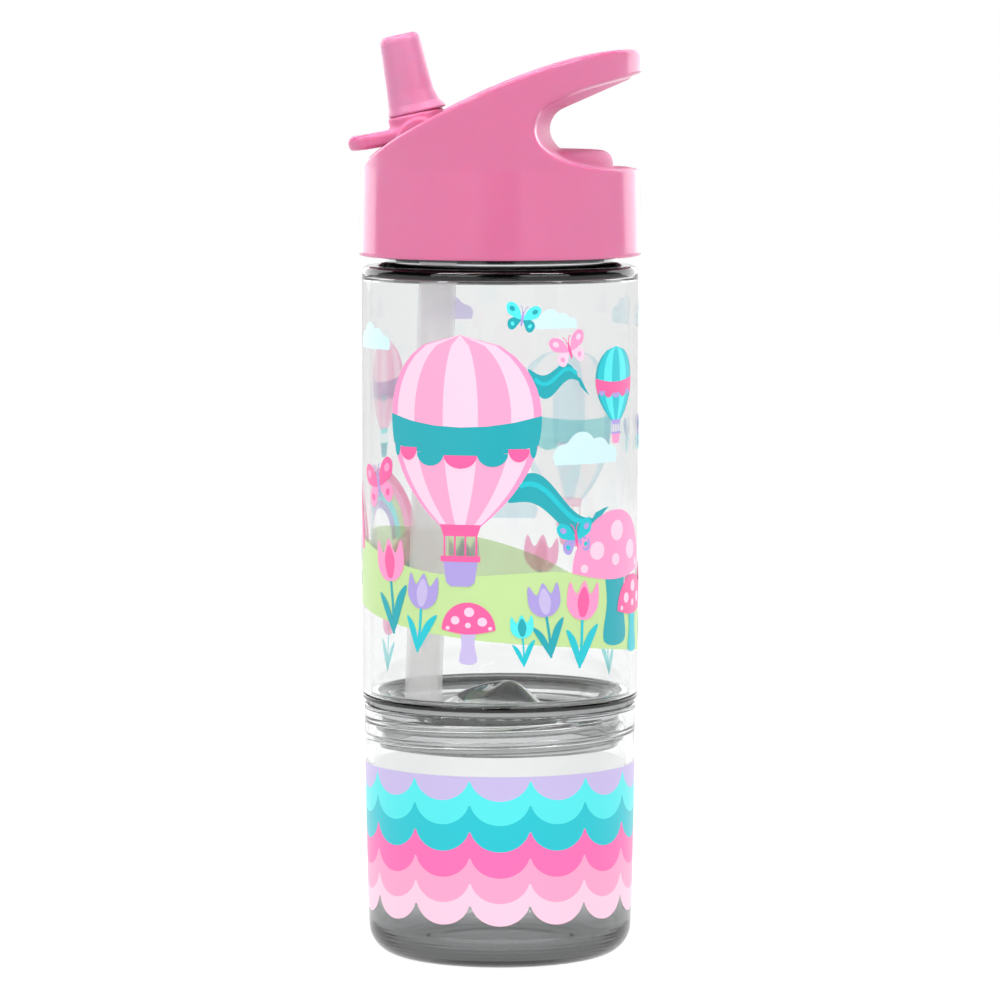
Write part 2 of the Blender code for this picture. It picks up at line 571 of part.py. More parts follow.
def build_cap_liner(parts, helpers, material):
    foot = CAP_Z + LINER_RECESS
    liner = turned("cap_liner", [(0, LINER_TOP_Z), (LINER_RADIUS, LINER_TOP_Z), (LINER_RADIUS, foot),
                                 (LINER_INNER_RADIUS, foot), (LINER_INNER_RADIUS, LINER_DISC_Z),
                                 (0, LINER_DISC_Z)], parts, material)
    top = MOUTH_Z - NECK_THREAD_DROP - flank_offset()
    ridge = helix_ridge("liner_thread", LINER_INNER_RADIUS, LINER_INNER_RADIUS - THREAD_HEIGHT, top,
                        NECK_THREAD_TURNS, helpers)
    tower_radius = PORT_SEAL_RADIUS + CLEARANCE + TOWER_WALL
    tower = cylinder("port_tower", tower_radius, TOWER_TOP_Z - LINER_TOP_Z + LINER_DISC / 2,
                     upright(-TOWER_OFFSET, LINER_TOP_Z - LINER_DISC / 2, TOWER_TOP_Z), helpers)
    spigot = cylinder("straw_spigot", STRAW_RADIUS - STRAW_WALL - CLEARANCE, SPIGOT_LENGTH + LINER_DISC,
                      straw_matrix((SPIGOT_LENGTH - LINER_DISC) / 2), helpers, 16)
    boolean(liner, "UNION", ridge, tower, spigot)
    recess = cylinder("port_recess", PORT_SEAL_RADIUS + CLEARANCE, 2 * TOWER_HEIGHT,
                      upright(-TOWER_OFFSET, recess_floor(), recess_floor() + 2 * TOWER_HEIGHT), helpers)
    bore = cylinder("spigot_bore", SPIGOT_BORE, SPIGOT_LENGTH * 2,
                    straw_matrix(SPIGOT_LENGTH), helpers, 16)
    start = Vector((-STRAW_TOP_OFFSET, 0, LINER_DISC_Z - LINER_DISC))
    end = Vector((-TOWER_OFFSET, 0, recess_floor() + LINER_DISC / 4))
    lean = math.atan2(end.x - start.x, end.z - start.z)
    port = cylinder("port_bore", SPIGOT_BORE, (end - start).length,
                    Matrix.Translation((start + end) / 2) @ Matrix.Rotation(lean, 4, "Y"), helpers, 16)
    stem_hole = cylinder("vent_stem_hole", VENT_STEM_RADIUS + CLEARANCE, 2 * LINER_DISC,
                         upright(VENT_OFFSET, LINER_DISC_Z - LINER_DISC, LINER_TOP_Z + LINER_DISC),
                         helpers, 12)
    boolean(liner, "DIFFERENCE", recess, bore, port, stem_hole)
    for i in range(3):
        around = Matrix.Rotation(2 * math.pi * i / 3, 4, "Z") @ Matrix.Translation((VENT_CIRCLE_RADIUS, 0, 0))
        hole = cylinder(f"vent_hole_{i + 1}", VENT_HOLE_RADIUS, 3 * LINER_DISC,
                        upright(VENT_OFFSET, LINER_DISC_Z, LINER_TOP_Z) @ around, helpers, 8)
        boolean(liner, "DIFFERENCE", hole)


def recess_floor():
    """The height on which the spout's seal rests, sunk a little below the liner's top."""
    return LINER_TOP_Z + TOWER_HEIGHT - TOWER_WALL + CLEARANCE


def build_cap_gasket(parts, material):
    outer = LINER_INNER_RADIUS - CLEARANCE
    inner = outer - GASKET_WIDTH
    top = GASKET_Z + GASKET_THICKNESS
    turned("cap_gasket", [(inner, top), (outer, top), (outer, GASKET_Z), (inner, GASKET_Z)],
           parts, material, ring=True)


def build_spout_seal(parts, helpers, material):
    low = recess_floor() + CLEARANCE
    high = low + PORT_SEAL_HEIGHT
    seal = turned("spout_seal", [(MOUTH_BORE, high), (PORT_SEAL_RADIUS, high), (PORT_SEAL_RADIUS, low),
                                 (MOUTH_BORE, low)], parts, material, ring=True)
    seal.location = (-TOWER_OFFSET, 0, 0)
    drum = cylinder("drum_print", DRUM_RADIUS + CLEARANCE, CHANNEL_WIDTH,
                    Matrix.Translation(PIVOT) @ Matrix.Rotation(math.radians(90), 4, "X"), helpers,
                    SEGMENTS)
    boolean(seal, "DIFFERENCE", drum)


def build_vent_valve(parts, material):
    """An umbrella valve: a soft disc under the liner's holes, held by a bulb above them."""
    roof = LINER_DISC_Z - CLEARANCE
    bulb = LINER_TOP_Z + CLEARANCE
    neck, head = VENT_STEM_RADIUS, VENT_STEM_RADIUS + 2 * CLEARANCE
    valve = turned("vent_valve", [(0, bulb + 2 * neck), (neck, bulb + neck), (head, bulb), (neck, bulb),
                                  (neck, roof), (VENT_DISC_RADIUS, roof),
                                  (VENT_DISC_RADIUS, roof - CLEARANCE), (0, roof - neck)],
                   parts, material)
    valve.location = (VENT_OFFSET, 0, 0)


def build_straw(parts, material):
    length = (STRAW_TOP_Z - STRAW_FOOT_Z) / math.cos(STRAW_LEAN)
    inner = STRAW_RADIUS - STRAW_WALL
    straw = turned("straw", [(inner, 0), (STRAW_RADIUS, 0), (STRAW_RADIUS, -length), (inner, -length)],
                   parts, material, ring=True)
    for modifier in straw.modifiers:
        modifier.steps = modifier.render_steps = SEGMENTS // 2
    straw.matrix_world = straw_matrix(0)


# --- spout -----------------------------------------------------------------------------------
def tab_outline():
    """The thumb tab's plan, a flat tongue with round outer corners."""
    half, corner = TAB_WIDTH / 2, TAB_WIDTH / 3
    outer = -TAB_REACH + corner
    return (arc((outer, half - corner), corner, 90, 180, 4)
            + arc((outer, corner - half), corner, 180, 270, 4) + [(0, -half), (0, half)])


def build_spout(parts, helpers, rigid, soft):
    pivot = bpy.data.objects.new("spout_pivot", None)
    parts.objects.link(pivot)
    pivot.location = PIVOT
    pivot.rotation_euler = (0, -SPOUT_LEAN, 0)

    foot = oval(STEM_HALF_LENGTH - EDGE_RADIUS, STEM_HALF_LENGTH - EDGE_RADIUS,
                STEM_HALF_WIDTH - EDGE_RADIUS, STEM_FOOT)
    middle = oval(STEM_HALF_LENGTH, STEM_HALF_LENGTH, STEM_HALF_WIDTH, STEM_TOP - EDGE_RADIUS)
    top = oval(STEM_HALF_LENGTH - EDGE_RADIUS, STEM_HALF_LENGTH - EDGE_RADIUS,
               STEM_HALF_WIDTH - EDGE_RADIUS, STEM_TOP)
    barrel = loft("spout_barrel", [foot, middle, top], parts, rigid)
    across = Matrix.Rotation(math.radians(90), 4, "X")
    drum_length = CHANNEL_WIDTH - 2 * CLEARANCE
    drum = cylinder("drum", DRUM_RADIUS, drum_length, across, helpers, 32)
    trunnions = cylinder("trunnions", TRUNNION_RADIUS, drum_length + 2 * TRUNNION_LENGTH, across,
                         helpers, 16)
    nipple = cylinder("nipple", NIPPLE_RADIUS, NIPPLE_TOP, upright(0, 0, NIPPLE_TOP), helpers, 16)
    tab = prism("thumb_tab", tab_outline(), TAB_TOP - TAB_THICKNESS, TAB_TOP, helpers, across=False)
    bore = cylinder("spout_bore", SPOUT_BORE, 4 * NIPPLE_TOP, Matrix.Identity(4), helpers, 16)
    boolean(barrel, "UNION", drum, trunnions, nipple, tab)
    boolean(barrel, "DIFFERENCE", bore)

    skirt = STEM_TOP + CLEARANCE
    length = SPOUT_LENGTH - skirt
    rings = [oval(back, front, half, skirt + share * length) for share, back, front, half in MOUTHPIECE]
    mouth = loft("spout_mouthpiece", rings, parts, soft)
    pocket = cylinder("nipple_pocket", NIPPLE_RADIUS + CLEARANCE, 2 * (NIPPLE_TOP + CLEARANCE),
                      Matrix.Identity(4), helpers, 16)
    sip = cylinder("sip_bore", MOUTH_BORE, 4 * SPOUT_LENGTH, Matrix.Identity(4), helpers, 16)
    boolean(mouth, "DIFFERENCE", pocket, sip)
    for obj in (barrel, mouth, drum, trunnions, nipple, tab, bore, pocket, sip):
        obj.parent = pivot


def main():
    clear_scene()
    parts = new_collection("kids_water_bottle")
    helpers = new_collection("cutters")
    pink = plastic("pink_polypropylene", (0.78, 0.21, 0.39), 0.35)
    pink_soft = plastic("pink_soft_mouthpiece", (0.80, 0.23, 0.42), 0.45)
    clear = plastic("clear_copolyester", (0.93, 0.95, 0.96), 0.05, 0.35, 0.9)
    smoke = plastic("smoke_copolyester", (0.62, 0.64, 0.66), 0.05, 0.45, 0.9)
    frosted = plastic("frosted_polyethylene", (0.90, 0.91, 0.92), 0.4, 0.8, 0.4)
    black = plastic("black_polypropylene", (0.006, 0.006, 0.007), 0.4)
    silicone = plastic("clear_silicone", (0.80, 0.82, 0.83), 0.5, 0.7)
    build_cup(parts, helpers, smoke)
    build_cup_seal(parts, silicone)
    build_bottle_body(parts, helpers, clear)
    build_bottle_base(parts, helpers, smoke)
    build_cap_shell(parts, helpers, pink)
    build_cap_liner(parts, helpers, black)
    build_cap_gasket(parts, silicone)
    build_spout_seal(parts, helpers, silicone)
    build_vent_valve(parts, silicone)
    build_straw(parts, frosted)
    build_spout(parts, helpers, pink, pink_soft)
    bpy.context.view_layer.update()


main()
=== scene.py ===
"""The looks of a child's water bottle: a clear printed bottle, a smoky snack cup and a pink lid.

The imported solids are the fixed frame. Each class here stands for one sub-assembly. It builds the finely
rounded meshes that replace the faceted solids, dresses them and lets them ride on their bodies.
Lengths in the classes are millimetres, in the frame of the solids: +Z up, the spout towards -X, the
hook towards +X and the printed front towards -Y.
"""

import logging
import math
from collections.abc import Callable, Sequence
from dataclasses import dataclass, field, replace
from enum import Enum

import bmesh
import bpy
import numpy as np
from mathutils import Matrix, Vector


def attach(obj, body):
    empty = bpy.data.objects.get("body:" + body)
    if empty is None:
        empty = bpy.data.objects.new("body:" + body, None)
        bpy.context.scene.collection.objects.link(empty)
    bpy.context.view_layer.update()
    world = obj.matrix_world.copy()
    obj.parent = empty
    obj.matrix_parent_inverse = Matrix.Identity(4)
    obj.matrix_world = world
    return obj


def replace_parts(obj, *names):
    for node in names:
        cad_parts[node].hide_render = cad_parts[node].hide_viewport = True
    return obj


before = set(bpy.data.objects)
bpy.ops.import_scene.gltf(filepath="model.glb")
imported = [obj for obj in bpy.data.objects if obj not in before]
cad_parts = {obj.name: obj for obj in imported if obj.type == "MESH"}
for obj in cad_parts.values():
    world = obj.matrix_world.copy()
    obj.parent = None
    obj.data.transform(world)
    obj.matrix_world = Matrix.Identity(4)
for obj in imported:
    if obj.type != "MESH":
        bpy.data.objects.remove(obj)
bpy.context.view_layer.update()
LOG = logging.getLogger("water_bottle")
MM = 0.001
TURN_STEPS = 144                # facets round a turned form
SHARP_ANGLE = math.radians(40)
SKIN_PASSES = 3                 # times that a meshed field's points are drawn on to its surface
LEAST_SLOPE = 0.2               # squared gradient below which a point no longer moves faster
BEYOND = 70.0                   # a distance that lies outside the lid on every side, in millimetres

Point = tuple[float, float]
Outline = list[Point]
Field = Callable[[np.ndarray, np.ndarray, np.ndarray], np.ndarray]


# --- colours, nodes and finishes -------------------------------------------------------------
def linear(code: str) -> tuple[float, float, float, float]:
    """Turn an sRGB hex colour into linear light.

    Args:
        code: Six hex digits, with or without a leading hash.

    Returns:
        Red, green, blue and an alpha of one.
    """
    parts = [int(code.lstrip("#")[i:i + 2], 16) / 255 for i in (0, 2, 4)]
    red, green, blue = (p / 12.92 if p <= 0.04045 else ((p + 0.055) / 1.055) ** 2.4 for p in parts)
    return red, green, blue, 1.0


def add_node(tree: bpy.types.NodeTree, kind: str, settings: dict | None = None,
             links: dict | None = None) -> bpy.types.Node:
    """Add a node with its settings and its incoming links.

    Args:
        tree: The tree that gets the node.
        kind: The node's type name.
        settings: Node properties, or values of its input sockets, by name.
        links: Output sockets to join to its inputs, by input name.

    Returns:
        The new node.
    """
    node = tree.nodes.new(kind)
    for name, value in (settings or {}).items():
        if name in node.inputs:
            node.inputs[name].default_value = value
        else:
            setattr(node, name, value)
    for name, source in (links or {}).items():
        tree.links.new(source, node.inputs[name])
    return node


def mix_shaders(tree: bpy.types.NodeTree, share: float | bpy.types.NodeSocket,
                first: bpy.types.NodeSocket, second: bpy.types.NodeSocket) -> bpy.types.NodeSocket:
    """Mix two shaders.

    Args:
        tree: The tree that gets the node.
        share: The second shader's share, or the socket that gives it.
        first: The first shader.
        second: The second shader.

    Returns:
        The mixed shader.
    """
    mix = add_node(tree, "ShaderNodeMixShader")
    if isinstance(share, float):
        mix.inputs[0].default_value = share
    else:
        tree.links.new(share, mix.inputs[0])
    tree.links.new(first, mix.inputs[1])
    tree.links.new(second, mix.inputs[2])
    return mix.outputs["Shader"]


def grey_ramp(tree: bpy.types.NodeTree, source: bpy.types.NodeSocket,
              stops: Sequence[Point]) -> bpy.types.NodeSocket:
    """Turn a value between zero and one into another by a line through given stops.

    Args:
        tree: The tree that gets the node.
        source: The value.
        stops: Places along it, and the grey at each.

    Returns:
        The grey.
    """
    ramp = add_node(tree, "ShaderNodeValToRGB", {}, {"Fac": source})
    elements = ramp.color_ramp.elements
    elements.remove(elements[1])
    elements[0].position, elements[0].color = stops[0][0], (*[stops[0][1]] * 3, 1)
    for position, grey in stops[1:]:
        elements.new(position).color = (grey, grey, grey, 1)
    return ramp.outputs["Color"]


@dataclass(frozen=True)
class Finish:
    """A surface, by what it is made of and how it was made.

    The fine unevenness of the moulding or film is drawn by two noises: one varies the gloss and
    one the height. Both are sized in millimetres of the real surface.
    """

    name: str
    colour: str
    roughness: float
    ior: float = 1.5
    transmission: float = 0.0
    glow_mm: float = 0.0          # how far light travels under the surface
    gloss_patch_mm: float = 6.0
    gloss_spread: float = 0.04
    grain_mm: float = 0.8
    grain_depth_mm: float = 0.0
    tint_spread: float = 0.0
    dye: str = ""                 # colour of the dye in the mass, which also paints shade where its levels rise
    dye_and_shade_levels: tuple[Point, ...] = ()  # height in millimetres and absorption per metre there; the steep rises are painted shade
    passes: str = ""              # tint of the light it lets in to what it encloses
    translucent: float = 0.0      # share of the light that a thin film scatters through
    sheer: float = 0.0            # share of the light that goes straight through
    lit: float = 0.0              # light given off: for the studio's floor, and as a painted glow on the films' inner faces
    core_mm: float = 0.0          # the mould's core, within this far of the axis, is less polished
    core_roughness: float = 0.0
    core_edge_mm: float = 0.5     # over which the polish of the core fades into the other

    def material(self) -> bpy.types.Material:
        """Build the material once, and hand out the same one after that.

        Returns:
            The node material.
        """
        found = bpy.data.materials.get(self.name)
        if found:
            return found
        material = bpy.data.materials.new(self.name)
        material.use_nodes = True
        tree = material.node_tree
        tree.nodes.clear()
        place = add_node(tree, "ShaderNodeTexCoord").outputs["Object"]
        patches = add_node(tree, "ShaderNodeTexNoise",
                           {"Scale": 1 / (self.gloss_patch_mm * MM), "Detail": 2.0}, {"Vector": place})
        gloss = add_node(tree, "ShaderNodeMapRange",
                         {"To Min": max(0.0, self.roughness - self.gloss_spread),
                          "To Max": self.roughness + self.gloss_spread},
                         {"Value": patches.outputs["Fac"]})
        values = {"Base Color": linear(self.colour), "IOR": self.ior, "Metallic": 0.0,
                  "Transmission Weight": self.transmission, "Emission Color": (1, 1, 1, 1),
                  "Emission Strength": self.lit}
        if self.glow_mm:
            values |= {"Subsurface Weight": 1.0, "Subsurface Radius": (1.0, 0.35, 0.45),
                       "Subsurface Scale": self.glow_mm * MM}
        links = {"Roughness": gloss.outputs["Result"]}
        if self.core_mm:
            flat = add_node(tree, "ShaderNodeVectorMath", {"operation": "MULTIPLY"}, {"Vector": place})
            flat.inputs[1].default_value = (1.0, 1.0, 0.0)
            across = add_node(tree, "ShaderNodeVectorMath", {"operation": "LENGTH"},
                              {"Vector": flat.outputs["Vector"]})
            core = add_node(tree, "ShaderNodeMapRange",
                            {"From Min": (self.core_mm - self.core_edge_mm) * MM,
                             "From Max": self.core_mm * MM,
                             "To Min": self.core_roughness},
                            {"Value": across.outputs["Value"], "To Max": gloss.outputs["Result"]})
            links["Roughness"] = core.outputs["Result"]
        if self.grain_depth_mm:
            grain = add_node(tree, "ShaderNodeTexNoise",
                             {"Scale": 1 / (self.grain_mm * MM), "Detail": 3.0}, {"Vector": place})
            bump = add_node(tree, "ShaderNodeBump",
                            {"Strength": 1.0, "Distance": self.grain_depth_mm * MM},
                            {"Height": grain.outputs["Fac"]})
            links["Normal"] = bump.outputs["Normal"]
        if self.tint_spread:
            base = Vector(linear(self.colour)[:3])
            deep, pale = base * (1 - self.tint_spread), base * (1 + self.tint_spread)
            mix = add_node(tree, "ShaderNodeMix",
                           {"data_type": "RGBA"}, {"Factor": patches.outputs["Fac"]})
            mix.inputs[6].default_value = (*deep, 1)
            mix.inputs[7].default_value = (*(min(1.0, c) for c in pale), 1)
            links["Base Color"] = mix.outputs[2]
        shader = add_node(tree, "ShaderNodeBsdfPrincipled", values, links)
        look = shader.outputs["BSDF"]
        if self.translucent:
            glow = add_node(tree, "ShaderNodeBsdfTranslucent", {"Color": linear(self.colour)})
            look = mix_shaders(tree, self.translucent, look, glow.outputs["BSDF"])
        if self.sheer:
            clear = add_node(tree, "ShaderNodeBsdfTransparent")
            look = mix_shaders(tree, self.sheer, look, clear.outputs["BSDF"])
        if self.passes:
            ray = add_node(tree, "ShaderNodeLightPath")
            passing = add_node(tree, "ShaderNodeMath", {"operation": "MAXIMUM"})
            tree.links.new(ray.outputs["Is Shadow Ray"], passing.inputs[0])
            tree.links.new(ray.outputs["Is Diffuse Ray"], passing.inputs[1])
            straight = add_node(tree, "ShaderNodeBsdfTransparent", {"Color": linear(self.passes)})
            look = mix_shaders(tree, passing.outputs["Value"], look, straight.outputs["BSDF"])
        surface = {"Surface": look}
        if self.dye:
            volume = add_node(tree, "ShaderNodeVolumeAbsorption",
                              {"Color": linear(self.dye), "Density": self.dye_and_shade_levels[0][1]})
            # heights where the density rises steeply paint shade into the plastic
            if len(self.dye_and_shade_levels) > 1:
                tree.links.new(self.dye_and_shade_by_height(tree, place), volume.inputs["Density"])
            surface["Volume"] = volume.outputs["Volume"]
        add_node(tree, "ShaderNodeOutputMaterial", {}, surface)
        return material

    def dye_and_shade_by_height(self, tree: bpy.types.NodeTree,
                      place: bpy.types.NodeSocket) -> bpy.types.NodeSocket:
        """Vary the dye's absorption with the height: the dye's own tint, and painted shade in the bands
        where it is set far denser.

        Args:
            tree: The material's tree.
            place: The place in the object's frame.

        Returns:
            The absorption per metre.
        """
        foot, head = self.dye_and_shade_levels[0][0], self.dye_and_shade_levels[-1][0]
        peak = max(density for _, density in self.dye_and_shade_levels)
        height = add_node(tree, "ShaderNodeSeparateXYZ", {}, {"Vector": place})
        along = add_node(tree, "ShaderNodeMapRange", {"From Min": foot * MM, "From Max": head * MM},
                         {"Value": height.outputs["Z"]})
        stops = [((level - foot) / (head - foot), density / peak) for level, density in self.dye_and_shade_levels]
        share = grey_ramp(tree, along.outputs["Result"], stops)
        density = add_node(tree, "ShaderNodeMath", {"operation": "MULTIPLY"})
        density.inputs[1].default_value = peak
        tree.links.new(share, density.inputs[0])
        return density.outputs["Value"]


# Polypropylene, injection moulded in a polished mould: an even gloss with soft long highlights.
PINK_POLYPROPYLENE = Finish("pink_polypropylene_moulded", "D4749E", 0.15, 1.49, glow_mm=0.6,
                            gloss_patch_mm=9.0, gloss_spread=0.03, grain_mm=1.6,
                            grain_depth_mm=0.004, tint_spread=0.015, core_mm=33.9,
                            core_roughness=0.55)
# Thermoplastic elastomer, moulded: the same pink a little paler, with a satin skin.
PINK_ELASTOMER = Finish("pink_elastomer_moulded", "CE83A8", 0.42, 1.50, glow_mm=0.9,
                        gloss_patch_mm=5.0, gloss_spread=0.04, grain_mm=0.9,
                        grain_depth_mm=0.004, tint_spread=0.02)
# Copolyester, blow moulded and polished: as clear as glass, with faint waves in its gloss. Its grey dye
# is dense in two thin bands, at the shoulder and on the neck just under the lid's edge: painted shade
# that shows as a black ring.
CLEAR_COPOLYESTER = Finish("clear_copolyester_moulded", "FDFEFE", 0.012, 1.54, transmission=1.0,
                           gloss_patch_mm=14.0, gloss_spread=0.012, grain_mm=22.0,
                           grain_depth_mm=0.03, dye="808080",
                           dye_and_shade_levels=((174.0, 50.0), (174.6, 1400.0), (175.8, 1400.0), (176.1, 50.0),
                                       (176.9, 50.0), (177.2, 1400.0), (177.8, 1400.0), (178.4, 50.0)),
                           passes="F9F9F9")
# Copolyester with a grey dye, injection moulded: clear through the wall, dark along it. Its dye grows
# denser towards the foot: partly the smoke's own tint and partly painted shade, for the dark that the
# ground gives the cup's floor.
SMOKE_COPOLYESTER = replace(CLEAR_COPOLYESTER, name="smoke_copolyester_moulded", colour="FAFBFB",
                            dye="404548", dye_and_shade_levels=((11.0, 280.0), (15.0, 140.0), (19.0, 20.0)))
# The same copolyester in the bottle's floor and collar, smooth. Its dye is far denser in bands at the
# collar, at the flange and over the dome's top where the gate's mark lies: painted shade, for the dark
# lines round the joint and in the floor.
SMOKE_FLOOR = replace(SMOKE_COPOLYESTER, name="smoke_copolyester_moulded_floor", grain_depth_mm=0.0,
                      dye_and_shade_levels=((53.6, 260.0), (59.8, 260.0), (60.8, 10.0), (64.7, 10.0),
                                  (65.0, 900.0), (66.5, 900.0), (66.8, 120.0), (67.2, 120.0),
                                  (67.4, 1400.0)))
# Low-density polyethylene, extruded: milky, with a soft sheen along the tube.
FROSTED_POLYETHYLENE = Finish("frosted_polyethylene_extruded", "FDFBFC", 0.35, 1.51, translucent=0.7,
                              sheer=0.6, gloss_patch_mm=3.0, gloss_spread=0.05, grain_mm=0.7,
                              grain_depth_mm=0.006)
# Near-black polypropylene for the liner: painted shade, for the shadowed gap that shows under the lid's
# edge.
LINER_PAINTED_SHADE = Finish("black_polypropylene_moulded", "101112", 0.35, 1.49,
                             gloss_patch_mm=7.0, grain_mm=1.2, grain_depth_mm=0.004)
# Silicone rubber, moulded: cloudy and dull.
CLEAR_SILICONE = Finish("clear_silicone_moulded", "E4E6E6", 0.5, 1.41, transmission=0.55,
                        gloss_patch_mm=3.0, gloss_spread=0.06, grain_mm=0.6, grain_depth_mm=0.01)


class Ink(Enum):
    """The printing inks, by their colour on a white ground."""

    LIGHT_PINK = "FFCBE1"
    MID_PINK = "FCA1C8"
    PINK = "FC96C6"
    ROSE = "F96BB2"
    HOT_PINK = "F45C9F"
    LAVENDER = "C4B7E3"
    PURPLE = "AA9ADB"
    TURQUOISE = "4EE6E9"
    BRIGHT_TEAL = "02C2CF"
    TEAL = "06A5B1"
    LIME = "BFDD97"
    PALE_BLUE = "CDEBF2"
    WHITE = "FBFBFB"

    def whitened(self, share: float) -> str:
        """The ink's colour with a share of it hidden by the white ground."""
        parts = [int(self.value[i:i + 2], 16) for i in (0, 2, 4)]
        return "".join(f"{round(250 * share + p * (1 - share)):02X}" for p in parts)

    def face(self, white: float) -> bpy.types.Material:
        """The ink's outer face: a thin glossy film, laid by screen printing.

        Args:
            white: How much of the ink's colour the ground hides from behind.

        Returns:
            The node material.
        """
        return Finish(f"ink_{self.name.lower()}_screen_printed_{round(100 * white)}", self.value, 0.34,
                      1.5, gloss_patch_mm=6.0, gloss_spread=0.03, passes=self.whitened(white)).material()

    def back(self, white: float) -> bpy.types.Material:
        """The film's inner face, where the white ground under the ink hides its colour in part. It gives
        off a little light: a painted glow that brightens the prints seen from inside the bottle.

        Args:
            white: The share of the colour that the ground hides.

        Returns:
            The node material.
        """
        # lit=0.2 is a painted glow on the inner face
        return Finish(f"ink_{self.name.lower()}_ground_{round(100 * white)}", self.whitened(white), 0.4,
                      1.5, gloss_patch_mm=6.0, gloss_spread=0.03, translucent=0.8, lit=0.2).material()


Shape = tuple[Outline, Ink, int]      # an outline, its ink and its layer
Part = tuple[Outline, int, int]       # an outline, its ink's number in the figure and its layer there


# --- meshes ----------------------------------------------------------------------------------
def add_object(name: str, mesh: bpy.types.Mesh, *materials: bpy.types.Material) -> bpy.types.Object:
    """Put a mesh in the scene with its materials and smooth shading.

    Args:
        name: The piece's name.
        mesh: Its mesh, in metres.
        materials: The materials of its slots, in order.

    Returns:
        The new object.
    """
    obj = bpy.data.objects.new(name, mesh)
    bpy.context.scene.collection.objects.link(obj)
    for material in materials:
        mesh.materials.append(material)
    mesh.shade_smooth()
    return obj


def mesh_of(name: str, points: np.ndarray | Sequence, faces: Sequence) -> bpy.types.Mesh:
    """Make a mesh from points in millimetres, with every face turned outwards.

    Args:
        name: The mesh's name.
        points: Corner points, in millimetres.
        faces: Tuples of corner numbers.

    Returns:
        The mesh, in metres.
    """
    mesh = bpy.data.meshes.new(name)
    mesh.from_pydata((np.asarray(points, float) * MM).tolist(), [], faces)
    bm = bmesh.new()
    bm.from_mesh(mesh)
    bmesh.ops.recalc_face_normals(bm, faces=bm.faces)
    bm.to_mesh(mesh)
    bm.free()
    return mesh


def rounded(corners: Sequence[tuple[float, float, float]], closed: bool, steps: int = 6) -> Outline:
    """Round the corners of an outline.

    Args:
        corners: Each corner's two places and its radius.
        closed: Whether the last corner is joined to the first.
        steps: Points along each round, less one.

    Returns:
        The outline with an arc at each corner that has a radius.
    """
    result: Outline = []
    count = len(corners)
    for i, (u, v, radius) in enumerate(corners):
        if radius <= 0 or (not closed and i in (0, count - 1)):
            result.append((u, v))
            continue
        here = Vector((u, v))
        before = Vector(corners[i - 1][:2]) - here
        after = Vector(corners[(i + 1) % count][:2]) - here
        half = before.angle(after) / 2
        reach = min(radius / math.tan(half), 0.499 * before.length, 0.499 * after.length)
        start, end = here + before.normalized() * reach, here + after.normalized() * reach
        middle = here + (before.normalized() + after.normalized()).normalized() * (
            reach / math.cos(half))
        first, last = start - middle, end - middle
        turn = first.angle_signed(last)
        for k in range(steps + 1):
            a = -turn * k / steps
            c, s = math.cos(a), math.sin(a)
            result.append((middle.x + first.x * c - first.y * s, middle.y + first.x * s + first.y * c))
    return result


def supported(profile: Outline, closed: bool, reach: float = 0.15) -> Outline:
    """Add a point just inside each end of a long straight, so that smooth shading stays true along it.

    Args:
        profile: The outline.
        closed: Whether its last point is joined to the first.
        reach: How far from the straight's ends the points lie.

    Returns:
        The outline with those points.
    """
    result: Outline = []
    for (au, av), (bu, bv) in zip(profile, profile[1:] + profile[:1]):
        result.append((au, av))
        length = math.hypot(bu - au, bv - av)
        if length > 5 * reach:
            result += [(au + (bu - au) * share, av + (bv - av) * share)
                       for share in (reach / length, 1 - reach / length)]
    return result if closed else result[:result.index(profile[-1]) + 1]


def lathe(name: str, profile: Outline, ring: bool, steps: int = TURN_STEPS) -> bpy.types.Mesh:
    """Turn a profile about the bottle's axis.

    Args:
        name: The mesh's name.
        profile: Points of radius and height; without ring the first and last lie on the axis.
        ring: Whether the profile closes on itself.
        steps: Facets round the form.

    Returns:
        One closed mesh.
    """
    points: list[tuple[float, float, float]] = []
    rows: list[list[int]] = []
    for radius, height in supported(profile, ring):
        if radius < 1e-6:
            rows.append([len(points)] * steps)
            points.append((0.0, 0.0, height))
            continue
        rows.append(list(range(len(points), len(points) + steps)))
        for k in range(steps):
            a = 2 * math.pi * k / steps
            points.append((radius * math.cos(a), radius * math.sin(a), height))
    faces = []
    for lower, upper in zip(rows, rows[1:] + rows[:1] if ring else rows[1:]):
        for k in range(steps):
            n = (k + 1) % steps
            corner = dict.fromkeys((lower[k], lower[n], upper[n], upper[k]))
            if len(corner) > 2:
                faces.append(tuple(corner))
    return mesh_of(name, points, faces)


def loft(name: str, rings: Sequence[Sequence[tuple[float, float, float]]]) -> bpy.types.Mesh:
    """Skin a row of rings of the same number of points, and close both ends.

    Args:
        name: The mesh's name.
        rings: The rings, in order.

    Returns:
        One closed mesh.
    """
    count = len(rings[0])
    points = [p for ring in rings for p in ring]
    faces = [(r * count + i, r * count + (i + 1) % count, (r + 1) * count + (i + 1) % count,
              (r + 1) * count + i) for r in range(len(rings) - 1) for i in range(count)]
    faces += [tuple(range(count)), tuple(range((len(rings) - 1) * count, len(rings) * count))]
    return mesh_of(name, points, faces)


